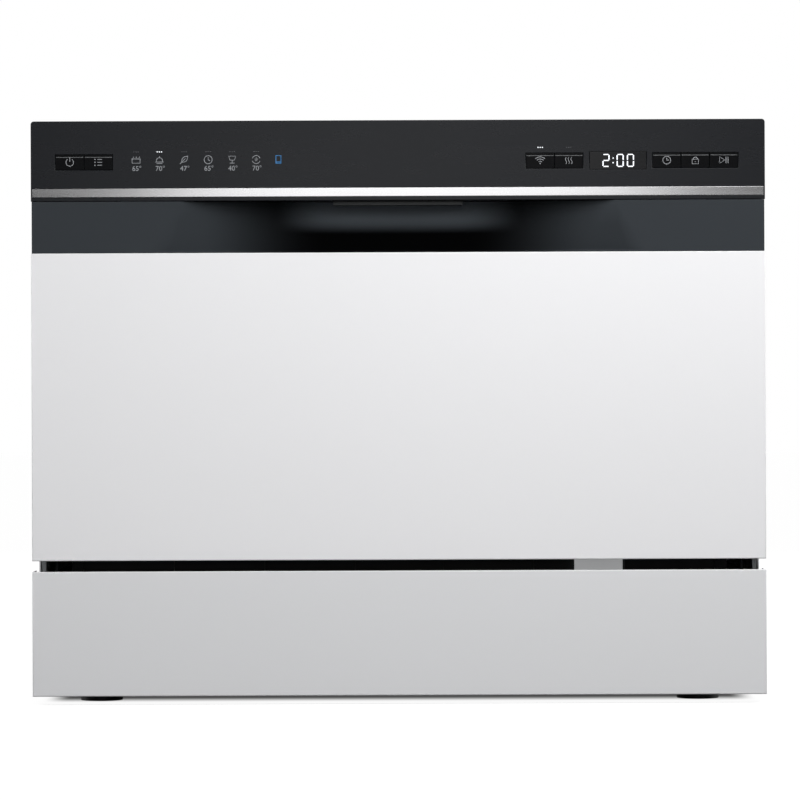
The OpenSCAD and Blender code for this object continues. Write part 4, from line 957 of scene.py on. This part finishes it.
soften("door_skin", (0.9, 4, at(1, skin_low.y)))
soften("plinth_panel", (0.9, 4, at(1, plinth_low.y)))
soften("top_cover", (1.0, 4, at(2, cover_high.z)))
soften("control_fascia", (2.4, 6, fascia_corner), (0.6, 3, at(1, fascia_low.y)))
print("faces:", {node: len(piece.data.polygons) for node, piece in softened.items()})

# %% [markdown]
# ## Round wire
# The rack and its tines are bent from wire four millimetres thick. In the frame each wire has eight
# flat sides, enough for contacts. Here the long edges between the flats are bevelled once more, which
# makes sixteen sides, and smooth shading does the rest. The joints between crossing wires are softened
# by the same step, like a weld under its nylon coat.

# %% Racks and tines
for node in ("rack_wirework", "plate_tines"):
    soften(node, (0.4, 1, everywhere))
    print(node, "faces:", len(softened[node].data.polygons))

# %% [markdown]
# ## The springs that balance the door
# Each side has a tension spring wound from thin wire and a rope that runs from the hinge arm's horn
# round a small pulley to the spring. A helix is a list of points on a circle that moves along, swept
# by a curve's round bevel. The rope is a curve of its own with a rounded corner.

# %% Springs, ropes and pulleys
SPRING_X = 260.1
ROPE_Y, ROPE_Z, ROPE_R = -206.0, 56.0, 1.5
ROPE_TOP = 113.7
PULLEY_R, PULLEY_W = 3.0, 3.2
BEND_R = PULLEY_R + ROPE_R
SPRING_Y = (-160.0, -50.0)
COIL_R, COIL_WIRE, COIL_TURNS, COIL_STEPS = 5.6, 0.85, 44, 14


def placed(x, y, z):
    """A move to a point in millimetres."""
    return Matrix.Translation(Vector((x, y, z)) * MM)


def swept(name, paths, radius, sides=2):
    """A bmesh tube along each path; the points are in millimetres."""
    curve = round_curve(name, radius * MM, sides)
    for points in paths:
        add_spline(curve, [tuple(c * MM for c in point) for point in points])
    mesh = mesh_of(name, curve)
    bm = bmesh.new()
    bm.from_mesh(mesh)
    bpy.data.meshes.remove(mesh)
    bmesh.ops.remove_doubles(bm, verts=bm.verts, dist=1e-6)
    bmesh.ops.recalc_face_normals(bm, faces=bm.faces)
    return bm


def helix(x, y0, y1, z):
    """The wire of one spring from its front hook to its rear one."""
    count = COIL_TURNS * COIL_STEPS
    turn = [(i / count, 2 * math.pi * i / COIL_STEPS) for i in range(count + 1)]
    coil = [
        (x + COIL_R * math.sin(a), y0 + (y1 - y0) * t, z + COIL_R * math.cos(a)) for t, a in turn
    ]
    front_hook = [(x, y0 - 4, z), (x, y0 - 1.5, z + COIL_R * 0.4)]
    rear_hook = [(x, y1 + 1.5, z + COIL_R * 0.4), (x, y1 + 4, z), (x, y1 + 6.5, z)]
    return front_hook + coil + rear_hook


def rope(x):
    middle_y, middle_z = ROPE_Y + BEND_R, ROPE_Z + BEND_R
    bend = [math.radians(180 + 90 * i / 8) for i in range(9)]
    corner = [(x, middle_y + BEND_R * math.cos(a), middle_z + BEND_R * math.sin(a)) for a in bend]
    return [(x, ROPE_Y, ROPE_TOP)] + corner + [(x, SPRING_Y[0] - 3, ROPE_Z)]


def round_off(bm, edges, radius):
    bmesh.ops.bevel(
        bm, geom=edges, offset=radius * MM, affect="EDGES", segments=2, profile=0.5, material=-1
    )


def add_pulley(bm, x):
    axle = placed(x, ROPE_Y + BEND_R, ROPE_Z + BEND_R) @ Matrix.Rotation(math.radians(90), 4, "Y")
    made = bmesh.ops.create_cone(
        bm, cap_ends=True, segments=32, radius1=PULLEY_R * MM, radius2=PULLEY_R * MM,
        depth=PULLEY_W * MM, matrix=axle,
    )["verts"]
    edges = {e for v in made for e in v.link_edges if len(e.link_faces) == 2}
    round_off(bm, [e for e in edges if e.calc_face_angle() > 1.0], 0.4)


coils = [helix(s * SPRING_X, *SPRING_Y, ROPE_Z) for s in (-1, 1)]
springs = swept("door_springs_wound", coils, COIL_WIRE)
spring_body = BODY_OF["door_springs"]
finish_piece(
    springs, "door_springs_wound", spring_body, FINISH["zinc_steel"], ["door_springs"]
)
ropes = swept("door_ropes", [rope(s * SPRING_X) for s in (-1, 1)], ROPE_R, 3)
for s in (-1, 1):
    add_pulley(ropes, s * SPRING_X)
finish_piece(ropes, "door_ropes", spring_body, FINISH["dark_plastic"])
print("spring turns:", COIL_TURNS)

# %% [markdown]
# ## The cutlery basket
# A real basket is a grid, so that water reaches the forks. Each wall starts as one grid of faces. All
# faces but the border ones are inset, the small inner faces are deleted, and the sheet is given its
# thickness. A plain rim runs round the top and the dividers are lower, as on a moulded basket.

# %% A slotted wall
def slotted_wall(bm, size, cells, place, rib=1.5, wall=1.8):
    """size in mm along the wall and up; place puts the wall's middle where it belongs."""
    sheet = bmesh.new()
    bmesh.ops.create_grid(sheet, x_segments=cells[0], y_segments=cells[1], size=0.5)
    bmesh.ops.scale(sheet, vec=(size[0] * MM, size[1] * MM, 1.0), verts=sheet.verts)
    inner = [f for f in sheet.faces if not any(e.is_boundary for e in f.edges)]
    bmesh.ops.inset_individual(sheet, faces=inner, thickness=rib * MM)
    bmesh.ops.delete(sheet, geom=inner, context="FACES")
    bmesh.ops.solidify(sheet, geom=sheet.faces[:], thickness=wall * MM)
    middle = sum(v.co.z for v in sheet.verts) / len(sheet.verts)
    bmesh.ops.translate(sheet, vec=(0, 0, -middle), verts=sheet.verts)
    bmesh.ops.recalc_face_normals(sheet, faces=sheet.faces)
    bmesh.ops.transform(sheet, matrix=place, verts=sheet.verts)
    mesh = bpy.data.meshes.new("wall")
    sheet.to_mesh(mesh)
    sheet.free()
    bm.from_mesh(mesh)
    bpy.data.meshes.remove(mesh)


def plain_bar(bm, low, high, edge=0.5):
    """A bar between two corners in millimetres."""
    made = bmesh.ops.create_cube(bm, size=1.0)["verts"]
    bmesh.ops.scale(bm, vec=(Vector(high) - Vector(low)) * MM, verts=made)
    bmesh.ops.translate(bm, vec=(Vector(high) + Vector(low)) / 2 * MM, verts=made)
    round_off(bm, list({e for v in made for e in v.link_edges}), edge)


UPRIGHT = Matrix.Rotation(math.radians(90), 4, "X")
SIDEWAYS = Matrix.Rotation(math.radians(90), 4, "Z") @ UPRIGHT
print("upright walls are grids turned by 90 degrees")

# %% Basket
BASKET_CELLS = 5
ACROSS, DEEP, HIGH = 20, 8, 11
RIM_H = 9.0
RIM_T = 2.0
DIVIDER_DROP = 0.4


def add_basket():
    low, high = (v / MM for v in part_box("cutlery_basket"))
    size = high - low
    middle = (low + high) / 2
    grid_h = size.z - RIM_H
    grid_z = low.z + grid_h / 2
    half = RIM_T / 2
    bm = bmesh.new()
    for y in (low.y + half, middle.y, high.y - half):
        place = placed(middle.x, y, grid_z) @ UPRIGHT
        slotted_wall(bm, (size.x, grid_h), (ACROSS, HIGH), place)
    for i in range(BASKET_CELLS + 1):
        x = low.x + half + (size.x - RIM_T) * i / BASKET_CELLS
        place = placed(x, middle.y, grid_z) @ SIDEWAYS
        slotted_wall(bm, (size.y, grid_h), (DEEP, HIGH), place)
    place = placed(middle.x, middle.y, low.z + half)
    slotted_wall(bm, (size.x, size.y), (ACROSS, DEEP), place, wall=RIM_T)
    for y0 in (low.y, middle.y - half, high.y - RIM_T):
        plain_bar(bm, (low.x, y0, high.z - RIM_H), (high.x, y0 + RIM_T, high.z))
    for i in range(BASKET_CELLS + 1):
        x0 = low.x + (size.x - RIM_T) * i / BASKET_CELLS
        top = high.z - DIVIDER_DROP
        plain_bar(bm, (x0, low.y, high.z - RIM_H), (x0 + RIM_T, high.y, top))
    return finish_piece(
        bm, "cutlery_basket_slotted", BODY_OF["cutlery_basket"],
        FINISH["grey_plastic"], ["cutlery_basket"],
    )


basket = add_basket()
print("basket faces:", len(basket.data.polygons))

# %% [markdown]
# ## Spray arm nozzles and the other edges
# The arm's jets leave through raised nozzles on its upper side. Each nozzle is a short cone whose top
# face is inset and pushed in. All other pieces get a small rounding of a third of a millimetre, the
# sharpest edge that a mould or a bent sheet leaves. The cup shelf is kept as it is, because joining
# its triangles to clean faces would close the gaps between its wires.

# %% Nozzles
NOZZLE_FOOT, NOZZLE_TOP, NOZZLE_H = 5.0, 3.6, 1.6
NOZZLE_SUNK, HOLE_RIM, HOLE_DEPTH = 0.4, 1.6, 1.0


def add_nozzles():
    low, high = (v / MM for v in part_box("spray_arm"))
    middle_y = ((low + high) / 2).y
    bm = bmesh.new()
    for side in (-1, 1):
        for r in range(66, 160, 32):
            made = bmesh.ops.create_cone(
                bm, cap_ends=True, segments=20, radius1=NOZZLE_FOOT * MM, radius2=NOZZLE_TOP * MM,
                depth=NOZZLE_H * MM, matrix=placed(side * r, middle_y, high.z - NOZZLE_SUNK),
            )["verts"]
            faces = {f for v in made for f in v.link_faces}
            top = max(faces, key=lambda f: f.calc_center_median().z)
            bmesh.ops.inset_region(bm, faces=[top], thickness=HOLE_RIM * MM)
            bmesh.ops.translate(bm, vec=(0, 0, -HOLE_DEPTH * MM), verts=top.verts)
    return finish_piece(
        bm, "spray_nozzles", BODY_OF["spray_arm"], FINISH["grey_plastic"]
    )


nozzles = add_nozzles()
print("nozzle faces:", len(nozzles.data.polygons))

# %% Every other piece
SMALL_EDGE = 0.3
EDGE_OF = {
    "handle_lever": 0.5,
    "detergent_lid": 0.7,
    "dispenser": 0.5,
    "rinse_aid_cap": 0.5,
    "side_panel_left": 0.35,
    "side_panel_right": 0.35,
    "levelling_feet": 0.6,
    "roller_left": 0.6,
    "roller_right": 0.6,
    "inner_hoses": 0.2,
    "heating_element": 0.2,
}
KEPT_WHOLE = {"cup_shelf", "cutlery_basket", "door_springs", *softened}
for node in sorted(set(NODE) - KEPT_WHOLE):
    soften(node, (EDGE_OF.get(node, SMALL_EDGE), 2, everywhere))
faces = sum(len(piece.data.polygons) for piece in softened.values())
print("rounded pieces:", len(softened), "faces:", faces)
